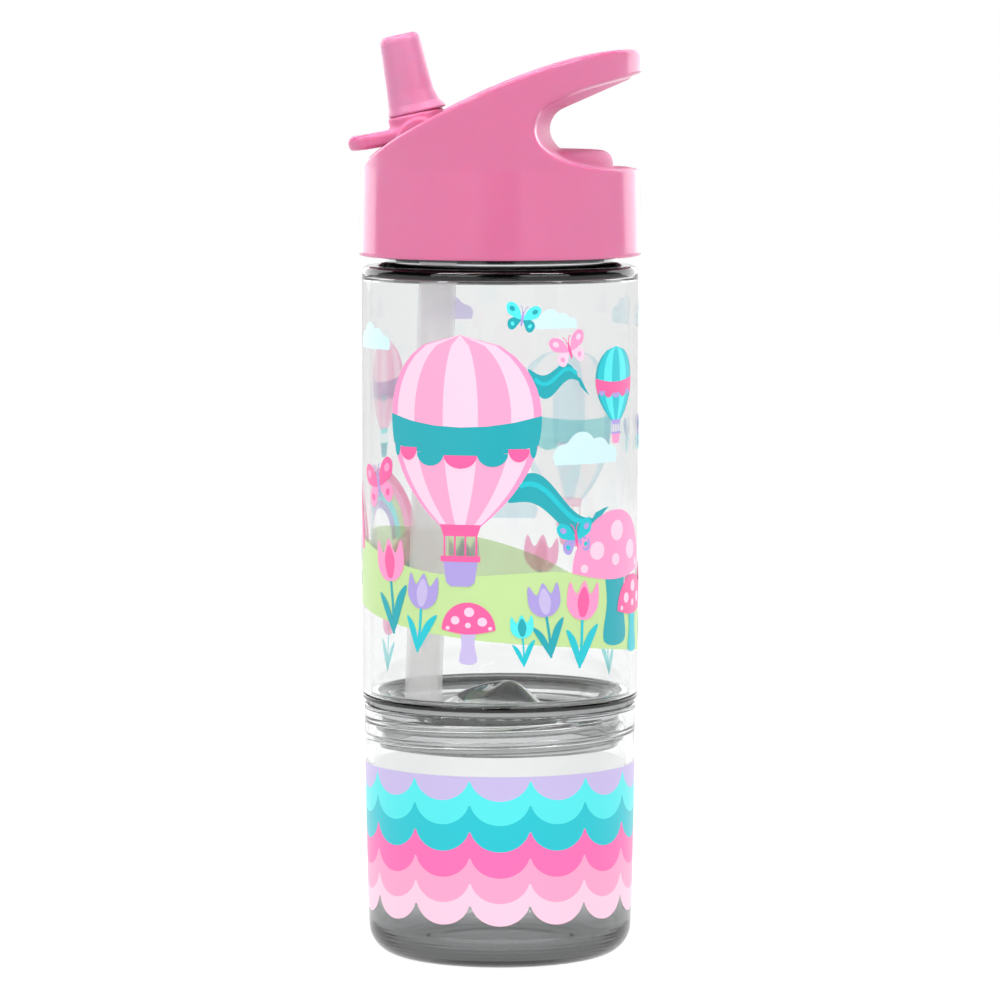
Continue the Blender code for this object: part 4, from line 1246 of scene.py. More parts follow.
@dataclass
class Lid:
    """The pink moulding: skirt, cheeks with the spout's channel, hook and deck, in one shape."""

    foot: float = 177.8
    rim: float = 200.0
    foot_radius: float = 35.7
    rim_radius: float = 35.2
    hook_radius: float = 36.5
    hook_top: float = 229.8
    tip_radius: float = 3.4
    hook_thickness: float = 7.3
    under_angle: float = 23.7
    front_angle: float = 77.0
    front_pull: float = 5.5
    end_angle: float = 1.4
    end_pull: float = 24.3
    opening_root: float = 12.6
    opening_middle: float = 9.7
    opening_foot: float = 32.0
    opening_flare: float = 4.3
    opening_upper_flare: float = 2.6
    flare_rise: float = 10.0
    deck_radius: float = 28.6
    deck_height: float = 4.5
    deck_round: float = 4.0
    channel_half: float = 9.0
    notch: float = 2.4
    cavity_radius: float = 33.5
    cavity_top: float = 197.6
    spout: Spout = field(default_factory=Spout)
    spout_travel: float = 75.0
    room: float = 1.0               # between the channel and the spout's ends
    spare_length: float = 0.2
    stem_room: float = 1.4
    drum_room: float = 0.1
    sweep: Point = (-10.5, 25.0)    # how far the channel's round end runs, in degrees
    socket_radius: float = 2.7
    socket_depth: float = 3.3
    vent: Point = (20.5, 1.2)
    edge: float = 0.75
    foot_edge: float = 0.8
    inner_edge: float = 0.5
    vent_edge: float = 0.3
    socket_edge: float = 0.2
    cell: float = 0.6
    outlines: dict[str, Outline] = field(default_factory=dict)

    def side_view(self) -> Outline:
        """Draw the slope, the hook's round end and everything below them.

        Returns:
            The closed outline, in the lid's middle plane.
        """
        end = (self.hook_radius - self.tip_radius, self.hook_top)
        rise, dip = math.radians(self.front_angle), math.radians(self.end_angle)
        start = (-self.rim_radius, self.rim)
        leave = (start[0] + self.front_pull * math.cos(rise),
                 start[1] + self.front_pull * math.sin(rise))
        arrive = (end[0] - self.end_pull * math.cos(dip), end[1] - self.end_pull * math.sin(dip))
        slope = bezier(start, leave, arrive, end, 36)
        tip = arc((end[0], self.hook_top - self.tip_radius), self.tip_radius, 90, -55, 12)[1:]
        inside = (end[0], tip[-1][1] - 0.6)
        deep = self.rim - 2 * BEYOND
        return slope + tip + [inside, (end[0], self.rim), (BEYOND, self.rim), (BEYOND, deep),
                              (-BEYOND, deep), (-BEYOND, self.rim)]

    def opening_view(self) -> Outline:
        """Draw the finger opening, from its straight upper edge round its end to its curved foot.

        Returns:
            The closed outline, in the lid's middle plane.
        """
        middle = self.rim + self.opening_middle
        sine = math.sin(math.radians(self.under_angle))
        cosine = math.cos(math.radians(self.under_angle))
        line_x, line_z = self.hook_radius - self.tip_radius, self.hook_top - self.hook_thickness
        reach = ((line_x - self.opening_root) * -sine + (line_z - middle) * cosine) / (1 - sine)
        points = [(BEYOND, line_z + (BEYOND - line_x) * sine / cosine)]
        points += arc((self.opening_root + reach, middle), reach, 90 + self.under_angle, 180, 14)
        for i in range(1, 19):
            a = math.radians(180 + 90 * i / 18)
            points.append((self.opening_foot + (self.opening_foot - self.opening_root) * math.cos(a),
                           middle + self.opening_middle * math.sin(a)))
        return points + [(BEYOND, self.rim)]

    def folded(self, along: float, below: float) -> Point:
        """Find a point beside the folded spout.

        Args:
            along: Its distance along the spout, from the hinge.
            below: Its distance below the spout's axis.

        Returns:
            The point, in the lid's middle plane.
        """
        turn = math.radians(self.spout_travel - self.spout.lean)
        return (self.spout.pivot[0] + along * math.sin(turn) + below * math.cos(turn),
                self.spout.pivot[1] + along * math.cos(turn) - below * math.sin(turn))

    def channel_view(self) -> Outline:
        """Draw what the spout sweeps as it folds, open upwards.

        Returns:
            The closed outline, in the lid's middle plane.
        """
        spout, top = self.spout, self.rim + BEYOND
        behind = spout.lean + 90 - self.spout_travel
        length = spout.length + self.spare_length
        notch = self.rim + self.notch
        front = spout.pivot[0] - spout.drum_radius - self.room
        under = spout.stem_half_length + self.stem_room
        outline = [(-BEYOND, notch), (front - 2 * self.room, notch), (front, self.rim),
                   (self.folded(spout.stem_top, spout.stem_half_length + 2 * self.room)[0], self.rim),
                   self.folded(spout.stem_top - self.room, under),
                   self.folded(spout.stem_top + self.room, under),
                   self.folded(length / 2, spout.drum_radius + self.drum_room)]
        outline += arc(spout.pivot, length + self.room, behind + self.sweep[0], behind + self.sweep[1],
                       12)
        return outline + [(outline[-1][0], top), (-BEYOND, top)]

    def form(self, x: np.ndarray, y: np.ndarray, z: np.ndarray) -> np.ndarray:
        """The lid's distance field.

        Args:
            x: First places, in millimetres.
            y: Second places.
            z: Heights.

        Returns:
            The field, negative in the plastic.
        """
        views, pivot = self.outlines, self.spout.pivot
        across = np.sqrt(x * x + y * y)
        upper = np.clip((z - self.rim) / (self.hook_top - self.rim), 0, 1)
        lower = np.clip((self.rim - z) / (self.rim - self.foot), 0, 1)
        wall = (self.rim_radius + (self.hook_radius - self.rim_radius) * upper
                + (self.foot_radius - self.rim_radius) * lower)
        solid = soft_max(across - wall, outline_distance(x, z, views["side"]), self.edge)
        share = (y / self.rim_radius) ** 2
        raised = np.clip((z - self.rim - self.opening_middle) / self.flare_rise, 0, 1)
        opening = outline_distance(x + self.opening_flare * share,
                                   z - self.opening_upper_flare * share * raised, views["opening"])
        solid = soft_max(solid, -opening, self.edge)
        top = self.rim + self.deck_height
        deck = soft_max(across - self.deck_radius, z - top, self.deck_round)
        solid = soft_min(solid, np.maximum(deck, self.cavity_top - z), self.inner_edge)
        channel = soft_max(np.abs(y) - self.channel_half, outline_distance(x, z, views["channel"]),
                           self.inner_edge)
        solid = soft_max(solid, -channel, self.edge)
        socket = np.sqrt((x - pivot[0]) ** 2 + (z - pivot[1]) ** 2) - self.socket_radius
        depth = self.channel_half + self.socket_depth
        solid = soft_max(solid, -np.maximum(socket, np.abs(y) - depth), self.socket_edge)
        vent = np.sqrt((x - self.vent[0]) ** 2 + y * y) - self.vent[1]
        solid = soft_max(solid, -np.maximum(vent, self.rim - z), self.vent_edge)
        solid = soft_max(solid, self.foot - z, self.foot_edge)
        cavity = np.maximum(across - self.cavity_radius, z - self.cavity_top)
        return soft_max(solid, -cavity, self.inner_edge)

    def build(self) -> bpy.types.Object:
        """Mesh the lid's moulding.

        Returns:
            The lid.
        """
        self.outlines = {"side": self.side_view(), "opening": self.opening_view(),
                         "channel": self.channel_view()}
        reach = self.hook_radius + 1.2
        mesh = skin_of("lid_moulding", self.form, (-reach, -reach, self.foot - 1.0),
                       (reach, reach, self.hook_top + 1.5), self.cell)
        lid = add_object("lid_moulding", mesh, PINK_POLYPROPYLENE.material())
        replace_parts(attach(lid, "lid"), "cap_shell")
        return lid


# --- hidden pieces that keep their own solids ------------------------------------------------
@dataclass
class InnerPieces:
    """Liner, seals and valve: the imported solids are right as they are, and get their finishes."""

    finishes: dict[str, Finish] = field(default_factory=lambda: {
        # the liner's near-black is painted shade for the gap under the lid
        "cap_liner": LINER_PAINTED_SHADE, "cap_gasket": CLEAR_SILICONE, "cup_seal": CLEAR_SILICONE,
        "spout_seal": CLEAR_SILICONE, "vent_valve": CLEAR_SILICONE})

    def dress(self) -> list[bpy.types.Object]:
        """Give each node its finish.

        Returns:
            The nodes.
        """
        for name, finish in self.finishes.items():
            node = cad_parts[name]
            node.data.materials.clear()
            node.data.materials.append(finish.material())
        return [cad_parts[name] for name in self.finishes]


# --- the picture -----------------------------------------------------------------------------
def ellipse(centre: Point, reach: Point, turn: float = 0.0, steps: int = 32) -> Outline:
    """Draw an ellipse.

    Args:
        centre: Its centre.
        reach: Its two half axes.
        turn: Its lean, in degrees.
        steps: Points round it.

    Returns:
        Its outline.
    """
    c, s = math.cos(math.radians(turn)), math.sin(math.radians(turn))
    result = []
    for k in range(steps):
        a = 2 * math.pi * k / steps
        u, v = reach[0] * math.cos(a), reach[1] * math.sin(a)
        result.append((centre[0] + u * c - v * s, centre[1] + u * s + v * c))
    return result


def placed(outline: Outline, at: Point, size: float = 1.0, turn: float = 0.0,
           flip: bool = False) -> Outline:
    """Set an outline down at a point.

    Args:
        outline: The outline, about its own origin.
        at: The point.
        size: Its scale.
        turn: Its lean, in degrees.
        flip: Whether left and right change places.

    Returns:
        The outline there.
    """
    c, s = math.cos(math.radians(turn)), math.sin(math.radians(turn))
    side = -size if flip else size
    return [(at[0] + u * side * c - v * size * s, at[1] + u * side * s + v * size * c)
            for u, v in outline]


def eased(corners: Outline, steps: int = 6) -> Outline:
    """Draw a smooth closed curve.

    Args:
        corners: The points that it passes.
        steps: Pieces between two of them.

    Returns:
        Its outline.
    """
    result, count = [], len(corners)
    for i in range(count):
        p = [Vector(corners[(i + k) % count]) for k in (-1, 0, 1, 2)]
        bend, twist = 2 * p[0] - 5 * p[1] + 4 * p[2] - p[3], 3 * p[1] - p[0] - 3 * p[2] + p[3]
        for k in range(steps):
            t = k / steps
            point = 0.5 * (2 * p[1] + (p[2] - p[0]) * t + bend * t * t + twist * t ** 3)
            result.append((point.x, point.y))
    return result


def stroke(line: Outline, width: float) -> Outline:
    """Draw a strip of even width.

    Args:
        line: The line along its middle.
        width: Its width.

    Returns:
        Its outline.
    """
    left, right = [], []
    for i, (u, v) in enumerate(line):
        a, b = Vector(line[max(i - 1, 0)]), Vector(line[min(i + 1, len(line) - 1)])
        side = (b - a).normalized().orthogonal() * width / 2
        left.append((u + side.x, v + side.y))
        right.append((u - side.x, v - side.y))
    return left + right[::-1]


@dataclass(frozen=True)
class Motif:
    """A printed figure, drawn about its own origin in units of its size."""

    at: Point
    size: float
    inks: tuple[Ink, ...]
    turn: float = 0.0
    layer: int = 1

    def outlines(self) -> list[Part]:
        """The outlines, each with the number of its ink and its height in layers."""
        raise NotImplementedError

    def shapes(self) -> list[Shape]:
        """Set the figure down at its place.

        Returns:
            Its outlines with inks and layers.
        """
        return [(placed(outline, self.at, self.size, self.turn), self.inks[ink], self.layer + level)
                for outline, ink, level in self.outlines()]


@dataclass(frozen=True)
class Balloon(Motif):
    """A hot-air balloon. Its inks are those of the gores, and then of the belt, trim and basket."""

    layer: int = 3
    foot: float = -1.32             # of the envelope
    taper: float = 0.74             # share of its half width that it loses there
    belt_foot: float = -0.34
    belt_top: float = 0.02
    belt_bow: float = 0.14
    tongues: int = 7                # that hang from the belt
    tongue_depth: float = 0.16
    tongue_lap: float = 0.02
    tongue_place: float = -0.4      # the height whose width they share

    def half_width(self, v: float) -> float:
        """Find half the envelope's width.

        Args:
            v: The height, from its widest place.

        Returns:
            Half the width there.
        """
        if v >= 0:
            return math.sqrt(max(0.0, 1 - v * v))
        return 1 - self.taper * (v / self.foot) ** 2.1

    def meridians(self, count: int) -> list[float]:
        """Edges of evenly wide gores as the front shows them, in shares of half the width."""
        return [math.sin(math.pi / 2 * (2 * k / count - 1)) for k in range(count + 1)]

    def patch(self, first: float, last: float, low: float, high: float, bow: float = 0.0) -> Outline:
        """Draw the patch of the envelope between two meridians and two heights.

        Args:
            first: The left meridian.
            last: The right meridian.
            low: The lower height.
            high: The upper height.
            bow: How far its ends hang down in their middle.

        Returns:
            Its outline.
        """
        steps = 18
        heights = [low + (high - low) * k / steps for k in range(steps + 1)]
        across = [first + (last - first) * k / 6 for k in range(1, 6)]
        result = [(first * self.half_width(v), v) for v in heights]
        if high < 1:
            result += [(m * self.half_width(high), high - bow * (1 - m * m)) for m in across]
            result.append((last * self.half_width(high), high))
        result += [(last * self.half_width(v), v) for v in heights[-2::-1]]
        return result + [(m * self.half_width(low), low - bow * (1 - m * m)) for m in across[::-1]]

    def outlines(self) -> list[Part]:
        """Draw the envelope with its belt and tongues, the ropes and the basket.

        Returns:
            The outlines.
        """
        belt, trim, basket = -3, -2, -1
        edges = self.meridians(len(self.inks) - 3)
        drawn: list[Part] = [(self.patch(first, last, self.foot, 1.0), ink, 0)
                             for ink, (first, last) in enumerate(zip(edges, edges[1:]))]
        drawn.append((self.patch(-1, 1, self.belt_foot, self.belt_top, self.belt_bow), belt, 1))
        width = self.half_width(self.tongue_place)
        edges = self.meridians(self.tongues)
        for k, (a, b) in enumerate(zip(edges, edges[1:])):
            top = self.belt_foot - self.belt_bow * (1 - ((a + b) / 2) ** 2) + self.tongue_lap
            tongue = [((a + b) / 2 * width + (b - a) / 2 * width * math.cos(s),
                       top + self.tongue_depth * math.sin(s))
                      for s in (math.pi + math.pi * i / 10 for i in range(11))]
            drawn.append((tongue, trim if k % 2 else belt, 2))
        skirt = self.half_width(self.foot)
        drawn.append(([(-skirt, -1.3), (skirt, -1.3), (skirt * 0.82, -1.44), (-skirt * 0.82, -1.44)],
                      trim, 1))
        drawn += [(stroke([(side * skirt * 0.78, -1.42), (side * 0.2, -1.74)], 0.022), trim, 0)
                  for side in (-1, -0.33, 0.33, 1)]
        drawn.append(([(-0.22, -1.72), (0.22, -1.72), (0.18, -2.0), (0.12, -2.05), (-0.12, -2.05),
                       (-0.18, -2.0)], basket, 1))
        drawn.append(([(-0.25, -1.68), (0.25, -1.68), (0.25, -1.75), (-0.25, -1.75)], trim, 2))
        return drawn


@dataclass(frozen=True)
class Butterfly(Motif):
    """A butterfly, half a span in size. Its inks are the wings', the spots' and the body's."""

    layer: int = 3

    def outlines(self) -> list[Part]:
        """Draw both pairs of wings with their spots, the feelers and the body.

        Returns:
            The outlines.
        """
        wings, spots, body = range(3)
        upper = eased([(0.06, 0.0), (0.3, 0.62), (0.72, 0.86), (1.0, 0.66), (0.86, 0.22), (0.45, 0.02)])
        lower = eased([(0.06, 0.02), (0.5, 0.02), (0.78, -0.24), (0.68, -0.62), (0.4, -0.66),
                       (0.16, -0.3)])
        half = ((upper, wings, 1), (lower, spots, 0),
                (ellipse((0.66, 0.5), (0.17, 0.13), 35), spots, 2),
                (ellipse((0.5, -0.34), (0.1, 0.13), -30), wings, 2),
                (stroke([(0.02, 0.3), (0.1, 0.6), (0.22, 0.74)], 0.04), body, 2))
        drawn = [(placed(outline, (0, 0), flip=flip), ink, level)
                 for flip in (False, True) for outline, ink, level in half]
        return drawn + [(ellipse((0, -0.02), (0.075, 0.42)), body, 3)]


@dataclass(frozen=True)
class Cloud(Motif):
    """A flat-footed cloud of one ink, half its width in size."""

    half: float = 0.96
    least: float = 0.12             # its height where no puff stands
    foot: float = 0.9               # half the width of its foot
    puffs: tuple[tuple[float, ...], ...] = ((-0.66, 0.17, 0.3), (-0.2, 0.34, 0.4), (0.3, 0.25, 0.34),
                                            (0.7, 0.14, 0.26))

    def outlines(self) -> list[Part]:
        """Draw the cloud round its puffs.

        Returns:
            The outline.
        """
        steps = 60
        crest = []
        for k in range(steps + 1):
            u = 2 * self.half * k / steps - self.half
            heights = [y + math.sqrt(r * r - (u - x) ** 2) for x, y, r in self.puffs if abs(u - x) < r]
            crest.append((u, max([self.least, *heights])))
        return [(crest[::-1] + [(-self.foot, 0.0), (self.foot, 0.0)], 0, 0)]


@dataclass(frozen=True)
class Tulip(Motif):
    """A tulip, its height in size. Its inks are the petals', the middle petal's and the leaves'."""

    layer: int = 3

    def outlines(self) -> list[Part]:
        """Draw the stem, two leaves and the flower.

        Returns:
            The outlines.
        """
        head, heart, leaf = range(3)
        cup = [(-0.2, 0.98), (-0.22, 0.72), (-0.12, 0.58), (0.0, 0.55), (0.12, 0.58), (0.22, 0.72),
               (0.2, 0.98), (0.1, 0.84), (0.0, 1.0), (-0.1, 0.84)]
        inner = [(0.0, 0.93), (-0.08, 0.78), (-0.05, 0.62), (0.0, 0.58), (0.05, 0.62), (0.08, 0.78)]
        blade = eased([(0.01, 0.02), (0.12, 0.22), (0.24, 0.5), (0.1, 0.4), (0.0, 0.16)])
        return [(stroke([(0, 0), (0.01, 0.3), (0, 0.57)], 0.035), leaf, 0), (blade, leaf, 1),
                (placed(blade, (0, 0), 0.86, flip=True), leaf, 1), (eased(cup[::-1], 3), head, 2),
                (eased(inner), heart, 3)]


@dataclass(frozen=True)
class Mushroom(Motif):
    """A spotted mushroom, its height in size. Its inks are the cap's, the spots' and the stem's."""

    layer: int = 2
    half: float = 0.46
    brim: float = 0.54
    sag: float = 0.07               # how far the cap's underside hangs down in its middle
    spots: tuple[tuple[float, ...], ...] = ((-0.22, 0.7, 0.075), (0.02, 0.84, 0.085),
                                            (0.24, 0.68, 0.08), (0.0, 0.62, 0.05),
                                            (-0.35, 0.57, 0.035), (0.37, 0.57, 0.035))

    def outlines(self) -> list[Part]:
        """Draw the stem, the cap and its spots.

        Returns:
            The outlines.
        """
        cap, spot, stem = range(3)
        foot = eased([(-0.14, 0.0), (0.14, 0.0), (0.11, 0.3), (0.12, 0.62), (-0.12, 0.62), (-0.11, 0.3)])
        top = arc((0, self.brim), self.half, 0, 180, 24)
        top += [(2 * self.half * k / 12 - self.half, self.brim - self.sag * math.sin(math.pi * k / 12))
                for k in range(1, 12)]
        return [(foot, stem, 0), (top, cap, 1)] + [(ellipse((u, v), (r, r * 0.92)), spot, 2)
                                                   for u, v, r in self.spots]


@dataclass(frozen=True)
class Rainbow(Motif):
    """A rainbow, its outer radius in size. Its inks run from the outer arch inwards."""

    width: float = 0.11

    def outlines(self) -> list[Part]:
        """Draw the nested arches.

        Returns:
            The outlines.
        """
        edges = [1 - k * self.width for k in range(len(self.inks) + 1)]
        return [(arc((0, 0), outer, 0, 180, 30) + arc((0, 0), inner, 180, 0, 30), ink, 0)
                for ink, (outer, inner) in enumerate(zip(edges, edges[1:]))]


@dataclass(frozen=True)
class Ribbon(Motif):
    """A ribbon that streams away from where it is tied. Its inks are its own and its stripe's."""

    layer: int = 2
    length: float = 1.0
    swing: float = 0.1              # how far its waves rise and fall
    width: float = 0.2
    waves: float = 1.15
    fall: float = 0.22
    steps: int = 30
    tail: int = 25                  # the step at which its narrow tail begins
    tail_share: float = 0.35        # the tail's width there, as a share of the ribbon's
    least: float = 0.02             # the tail's width at its tip
    stripe_share: float = 0.16      # the stripe's width, as a share of the ribbon's
    stripe_rise: float = 0.12
    stripe_run: tuple[int, int] = (3, 24)

    def outlines(self) -> list[Part]:
        """Draw the ribbon and the stripe along it.

        Returns:
            The outlines.
        """
        steps, tail = self.steps, self.tail
        line = [(self.length * k / steps, self.swing * math.sin(2 * math.pi * self.waves * k / steps)
                 - self.fall * self.length * k / steps) for k in range(steps + 1)]
        breadth = [self.width * math.sin(math.pi * min(1.0, (k + 1.2) / (tail + 1)) ** 0.8) ** 0.7
                   for k in range(tail)]
        breadth += [self.width * self.tail_share * (steps - k) / (steps - tail)
                    for k in range(tail, steps + 1)]
        upper, under = ([(u, v + side * max(b, self.least) / 2) for (u, v), b in zip(line, breadth)]
                        for side in (1, -1))
        middle = [(u, v + self.stripe_rise * self.width) for u, v in line[slice(*self.stripe_run)]]
        return [(upper + under[::-1], 0, 0), (stroke(middle, self.stripe_share * self.width), 1, 1)]


@dataclass
class MeadowPrint:
    """A made-up meadow with balloons, printed round the bottle. Places are along the wall and up it."""

    radius: float = 35.0

    def film(self, name: str) -> WrapFilm:
        """A film on the bottle's straight wall."""
        return WrapFilm(name, lambda height: self.radius, Ink.LIME)

    def hills(self) -> bpy.types.Object:
        """Print the meadow's rolling band all the way round.

        Returns:
            The film.
        """
        def crest(azimuth: float) -> float:
            """Height of the hills' crest."""
            a = math.radians(azimuth)
            return 99.5 - 8.0 * math.sin(a) + 3.2 * math.sin(2 * a + 0.4) + 1.6 * math.sin(3 * a - 0.5)

        def foot(azimuth: float) -> float:
            """Height of the meadow's lower edge."""
            a = math.radians(azimuth)
            return 84.0 - 6.4 * math.sin(a + 0.15) + 1.6 * math.sin(2 * a)

        return self.film("print_meadow").band(crest, foot, 240)

    def sky(self) -> list[Motif]:
        """Place the clouds and the rainbow.

        Returns:
            The figures.
        """
        pale, lavender = (Ink.PALE_BLUE,), (Ink.LAVENDER,)
        return [Cloud((24.0, 127.0), 11.0, pale), Cloud((-40.0, 155.0), 9.0, pale),
                Cloud((62.0, 160.0), 11.0, pale), Cloud((-107.9, 108.0), 13.0, pale),
                Cloud((-95.0, 160.0), 8.0, lavender), Cloud((14.0, 161.0), 6.5, pale),
                Rainbow((-66.0, 104.0), 19.0, (Ink.HOT_PINK, Ink.PINK, Ink.LIME, Ink.TURQUOISE,
                                               Ink.PURPLE))]

    def balloons(self) -> list[Motif]:
        """Place the balloons and the ribbons.

        Returns:
            The figures.
        """
        light, deep = Ink.LIGHT_PINK, Ink.MID_PINK
        pinks = (Ink.PINK, light, deep, light, deep, light, Ink.PINK)
        light, deep = Ink.BRIGHT_TEAL, Ink.TURQUOISE
        blues = (Ink.TEAL, light, deep, light, deep, light, Ink.TEAL)
        whites = (Ink.PALE_BLUE, Ink.WHITE, Ink.PALE_BLUE, Ink.WHITE, Ink.PALE_BLUE)
        teals = (Ink.TEAL, Ink.BRIGHT_TEAL)
        return [Balloon((-10.0, 139.0), 20.5, (*pinks, Ink.TEAL, Ink.HOT_PINK, Ink.PURPLE)),
                Balloon((34.0, 148.0), 8.0, (*blues, Ink.HOT_PINK, Ink.PURPLE, Ink.PINK)),
                Balloon((90.0, 136.0), 17.0, (*whites, Ink.TURQUOISE, Ink.LIGHT_PINK, Ink.PINK)),
                Balloon((-70.0, 146.0), 10.0, (*pinks, Ink.PURPLE, Ink.TURQUOISE, Ink.TEAL)),
                Ribbon((2.0, 119.5), 1.0, teals, length=29.0, swing=3.4, width=8.0),
                Ribbon((7.0, 150.0), 1.0, teals, length=17.0, swing=-2.6, width=6.0)]

    def butterflies(self) -> list[Motif]:
        """Place the butterflies.

        Returns:
            The figures.
        """
        return [Butterfly(at, size, inks, turn) for at, size, turn, inks in (
            ((-36.5, 121.0), 7.2, 14.0, (Ink.HOT_PINK, Ink.PINK, Ink.PURPLE)),
            ((5.5, 163.5), 4.4, -10.0, (Ink.TURQUOISE, Ink.TEAL, Ink.PURPLE)),
            ((18.0, 155.5), 5.0, 16.0, (Ink.PINK, Ink.LIGHT_PINK, Ink.HOT_PINK)),
            ((20.0, 108.5), 5.2, 8.0, (Ink.BRIGHT_TEAL, Ink.PURPLE, Ink.HOT_PINK)),
            ((57.0, 132.0), 6.0, -12.0, (Ink.PURPLE, Ink.TURQUOISE, Ink.TEAL)),
            ((-103.0, 137.0), 6.0, 10.0, (Ink.PINK, Ink.PURPLE, Ink.TEAL)))]

    def garden(self) -> list[Motif]:
        """Place the tulips and, over them, the mushrooms.

        Returns:
            The figures.
        """
        tulips = [Tulip(at, size, inks, turn) for at, size, turn, inks in (
            ((-30.0, 84.0), 24.0, 5.0, (Ink.PINK, Ink.HOT_PINK, Ink.TEAL)),
            ((-22.0, 80.0), 20.0, -6.0, (Ink.PURPLE, Ink.LAVENDER, Ink.BRIGHT_TEAL)),
            ((13.0, 79.0), 19.0, 7.0, (Ink.PURPLE, Ink.LAVENDER, Ink.TEAL)),
            ((21.0, 76.0), 22.0, -4.0, (Ink.PINK, Ink.HOT_PINK, Ink.BRIGHT_TEAL)),
            ((6.0, 77.0), 13.0, 3.0, (Ink.TURQUOISE, Ink.TEAL, Ink.BRIGHT_TEAL)),
            ((58.0, 78.0), 22.0, 4.0, (Ink.HOT_PINK, Ink.PINK, Ink.TEAL)),
            ((66.0, 80.0), 18.0, -6.0, (Ink.TURQUOISE, Ink.TEAL, Ink.TEAL)),
            ((-60.0, 88.0), 20.0, -3.0, (Ink.PURPLE, Ink.LAVENDER, Ink.TEAL)),
            ((100.0, 82.0), 22.0, 5.0, (Ink.PINK, Ink.LIGHT_PINK, Ink.TEAL)),
            ((-72.0, 70.0), 17.0, 4.0, (Ink.PINK, Ink.LIGHT_PINK, Ink.TURQUOISE)),
            ((74.0, 69.0), 17.0, -5.0, (Ink.PINK, Ink.LIGHT_PINK, Ink.TURQUOISE)),
            ((-101.0, 84.0), 19.0, -4.0, (Ink.PURPLE, Ink.LAVENDER, Ink.BRIGHT_TEAL)))]
        pink, hot_pink = (Ink.PINK, Ink.LIGHT_PINK), (Ink.HOT_PINK, Ink.LIGHT_PINK)
        return tulips + [
            Mushroom((34.0, 82.0), 33.0, (*pink, Ink.TEAL)),
            Mushroom((43.5, 79.0), 19.0, (*hot_pink, Ink.BRIGHT_TEAL), layer=5),
            Mushroom((-8.0, 78.0), 15.0, (*hot_pink, Ink.LAVENDER)),
            Mushroom((80.0, 80.0), 20.0, (Ink.PURPLE, Ink.LAVENDER, Ink.TURQUOISE)),
            Mushroom((-84.0, 84.0), 22.0, (*pink, Ink.TURQUOISE))]

    def build(self) -> list[bpy.types.Object]:
        """Print the whole picture.

        Returns:
            The films.
        """
        films = [self.hills()]
        for name, motifs in (("print_sky", self.sky()), ("print_balloons", self.balloons()),
                             ("print_butterflies", self.butterflies()), ("print_garden", self.garden())):
            shapes = [shape for motif in motifs for shape in motif.shapes()]
            films.append(self.film(name).picture(shapes))
        for film in films:
            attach(film, "bottle")
        return films


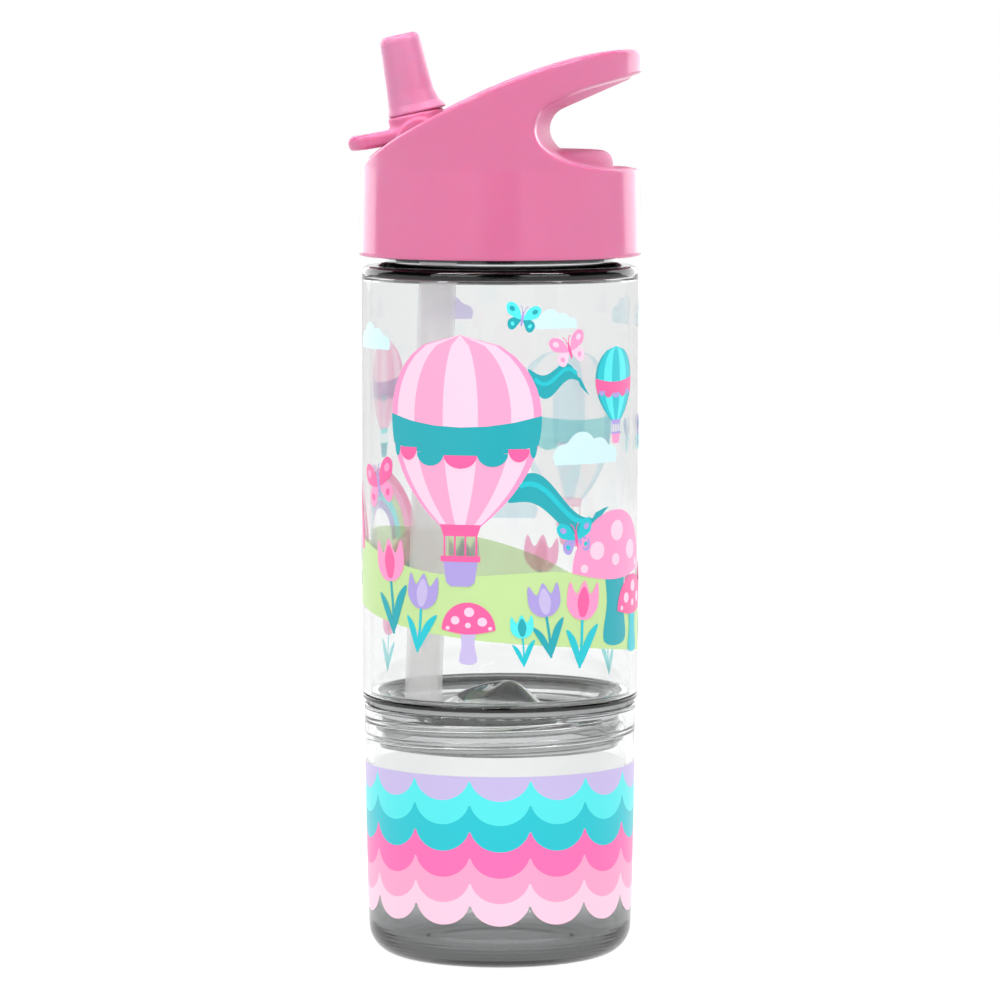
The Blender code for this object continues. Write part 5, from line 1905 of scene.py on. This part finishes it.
# --- studio ----------------------------------------------------------------------------------
@dataclass
class Studio:
    """A pale floor, a soft white surround, soft boxes before and behind, a strip above, the camera."""

    distance: float = 1350.0
    camera_height: float = 233.0
    aim_height: float = 115.6
    view_angle: float = 10.72       # in degrees
    floor_radius: float = 4000.0
    floor_drop: float = 0.2
    light_aim: float = 120.0
    overhead: tuple[Point, ...] = ((0.15, 1.0), (0.32, 0.03))      # direction's height, and the grey
    surround: tuple[Point, ...] = ((0.0125, 0.2), (0.0225, 1.0), (0.55, 1.0), (0.65, 0.7),
                                   (0.93, 0.7), (0.97, 1.0))       # from the front to the back
    front_box: tuple[float, ...] = (836.0, -996.0, 900.0, 1100.0, 700.0, 5.3)  # place, size, watts
    rim_box: tuple[float, ...] = (688.0, 983.0, 538.0, 1120.0, 900.0, 6.3)
    strip: tuple[float, ...] = (0.0, -250.0, 1100.0, 1500.0, 140.0, 16.0)

    def build_camera(self) -> bpy.types.Object:
        """Stand the camera in front of the bottle, a little above it.

        Returns:
            The camera.
        """
        data = bpy.data.cameras.new("studio_camera")
        data.sensor_width = 36.0
        data.angle = math.radians(self.view_angle)
        data.clip_end = 20.0
        camera = bpy.data.objects.new("studio_camera", data)
        bpy.context.scene.collection.objects.link(camera)
        camera.location = Vector((0, -self.distance, self.camera_height)) * MM
        aim = Vector((0, 0, self.aim_height)) * MM - camera.location
        camera.rotation_euler = aim.to_track_quat("-Z", "Y").to_euler()
        bpy.context.scene.camera = camera
        return camera

    def build_floor(self) -> bpy.types.Object:
        """Lay a plain white floor that glows a little, so nothing casts a shadow on it.

        Returns:
            The floor.
        """
        bm = bmesh.new()
        bmesh.ops.create_circle(bm, cap_ends=True, segments=64, radius=self.floor_radius * MM)
        mesh = bpy.data.meshes.new("studio_floor")
        bm.to_mesh(mesh)
        bm.free()
        floor = bpy.data.objects.new("studio_floor", mesh)
        bpy.context.scene.collection.objects.link(floor)
        floor.location.z = -self.floor_drop * MM
        mesh.materials.append(Finish("studio_opal_acrylic_lit_from_below", "5A5A5A", 0.9,
                                     gloss_patch_mm=60.0, lit=0.98).material())
        return floor

    def build_surround(self) -> bpy.types.World:
        """Light everything from a white surround that darkens overhead, as a studio's ceiling does.

        Returns:
            The world.
        """
        world = bpy.data.worlds.new("studio_surround")
        bpy.context.scene.world = world
        world.use_nodes = True
        tree = world.node_tree
        tree.nodes.clear()
        direction = add_node(tree, "ShaderNodeTexCoord").outputs["Generated"]
        split = add_node(tree, "ShaderNodeSeparateXYZ", {}, {"Vector": direction})
        upwards = grey_ramp(tree, split.outputs["Z"], self.overhead)
        along = add_node(tree, "ShaderNodeMapRange", {"From Min": -1.0}, {"Value": split.outputs["Y"]})
        round_about = grey_ramp(tree, along.outputs["Result"], self.surround)
        light = add_node(tree, "ShaderNodeBackground", {}, {"Color": upwards, "Strength": round_about})
        add_node(tree, "ShaderNodeOutputWorld", {}, {"Surface": light.outputs["Background"]})
        return world

    def build_light(self, name: str, box: Sequence[float], side: float = 1.0) -> bpy.types.Object:
        """Stand one soft box that faces the bottle.

        Args:
            name: The light's name.
            box: Where its middle is, its width and height, in millimetres, and its power in watts.
            side: One, or minus one for a box on the other side.

        Returns:
            The light.
        """
        x, y, z, width, height, power = box
        data = bpy.data.lights.new(name, "AREA")
        data.shape = "RECTANGLE"
        data.size, data.size_y = width * MM, height * MM
        data.energy = power
        light = bpy.data.objects.new(name, data)
        bpy.context.scene.collection.objects.link(light)
        light.location = Vector((side * x, y, z)) * MM
        aim = Vector((0, 0, self.light_aim)) * MM - light.location
        light.rotation_euler = aim.to_track_quat("-Z", "Y").to_euler()
        return light

    def build(self) -> None:
        """Build the floor, the surround, the lights and the camera, and keep whites white."""
        self.build_camera()
        self.build_floor()
        self.build_surround()
        for name, side in (("left", -1.0), ("right", 1.0)):
            self.build_light(f"soft_box_{name}", self.front_box, side)
            self.build_light(f"rim_box_{name}", self.rim_box, side)
        self.build_light("overhead_strip", self.strip)
        scene = bpy.context.scene
        scene.view_settings.view_transform = "Standard"
        scene.view_settings.look = "None"
        scene.cycles.max_bounces = 24
        scene.cycles.transmission_bounces = 20
        scene.cycles.transparent_max_bounces = 16


def report(name: str, *pieces: bpy.types.Object) -> None:
    """Log each finished piece with its faces.

    Args:
        name: The sub-assembly.
        pieces: Its pieces.
    """
    for piece in pieces:
        LOG.info("%s: %s, %d faces", name, piece.name, len(piece.data.polygons))


def main() -> None:
    """Build the bottle from the stage up, and log how many faces each built piece has."""
    logging.basicConfig(level=logging.INFO, format="%(name)s: %(message)s")
    Studio().build()
    bottle = ClearBottle()
    report("bottle", bottle.build_wall(), bottle.build_base(), bottle.build_straw())
    cup = SnackCup()
    report("snack cup", cup.build_cup(), *cup.build_scallops())
    report("lid", Lid().build())
    report("spout", *Spout().build())
    report("inner pieces", *InnerPieces().dress())
    report("picture", *MeadowPrint().build())


if __name__ == "__main__":
    main()
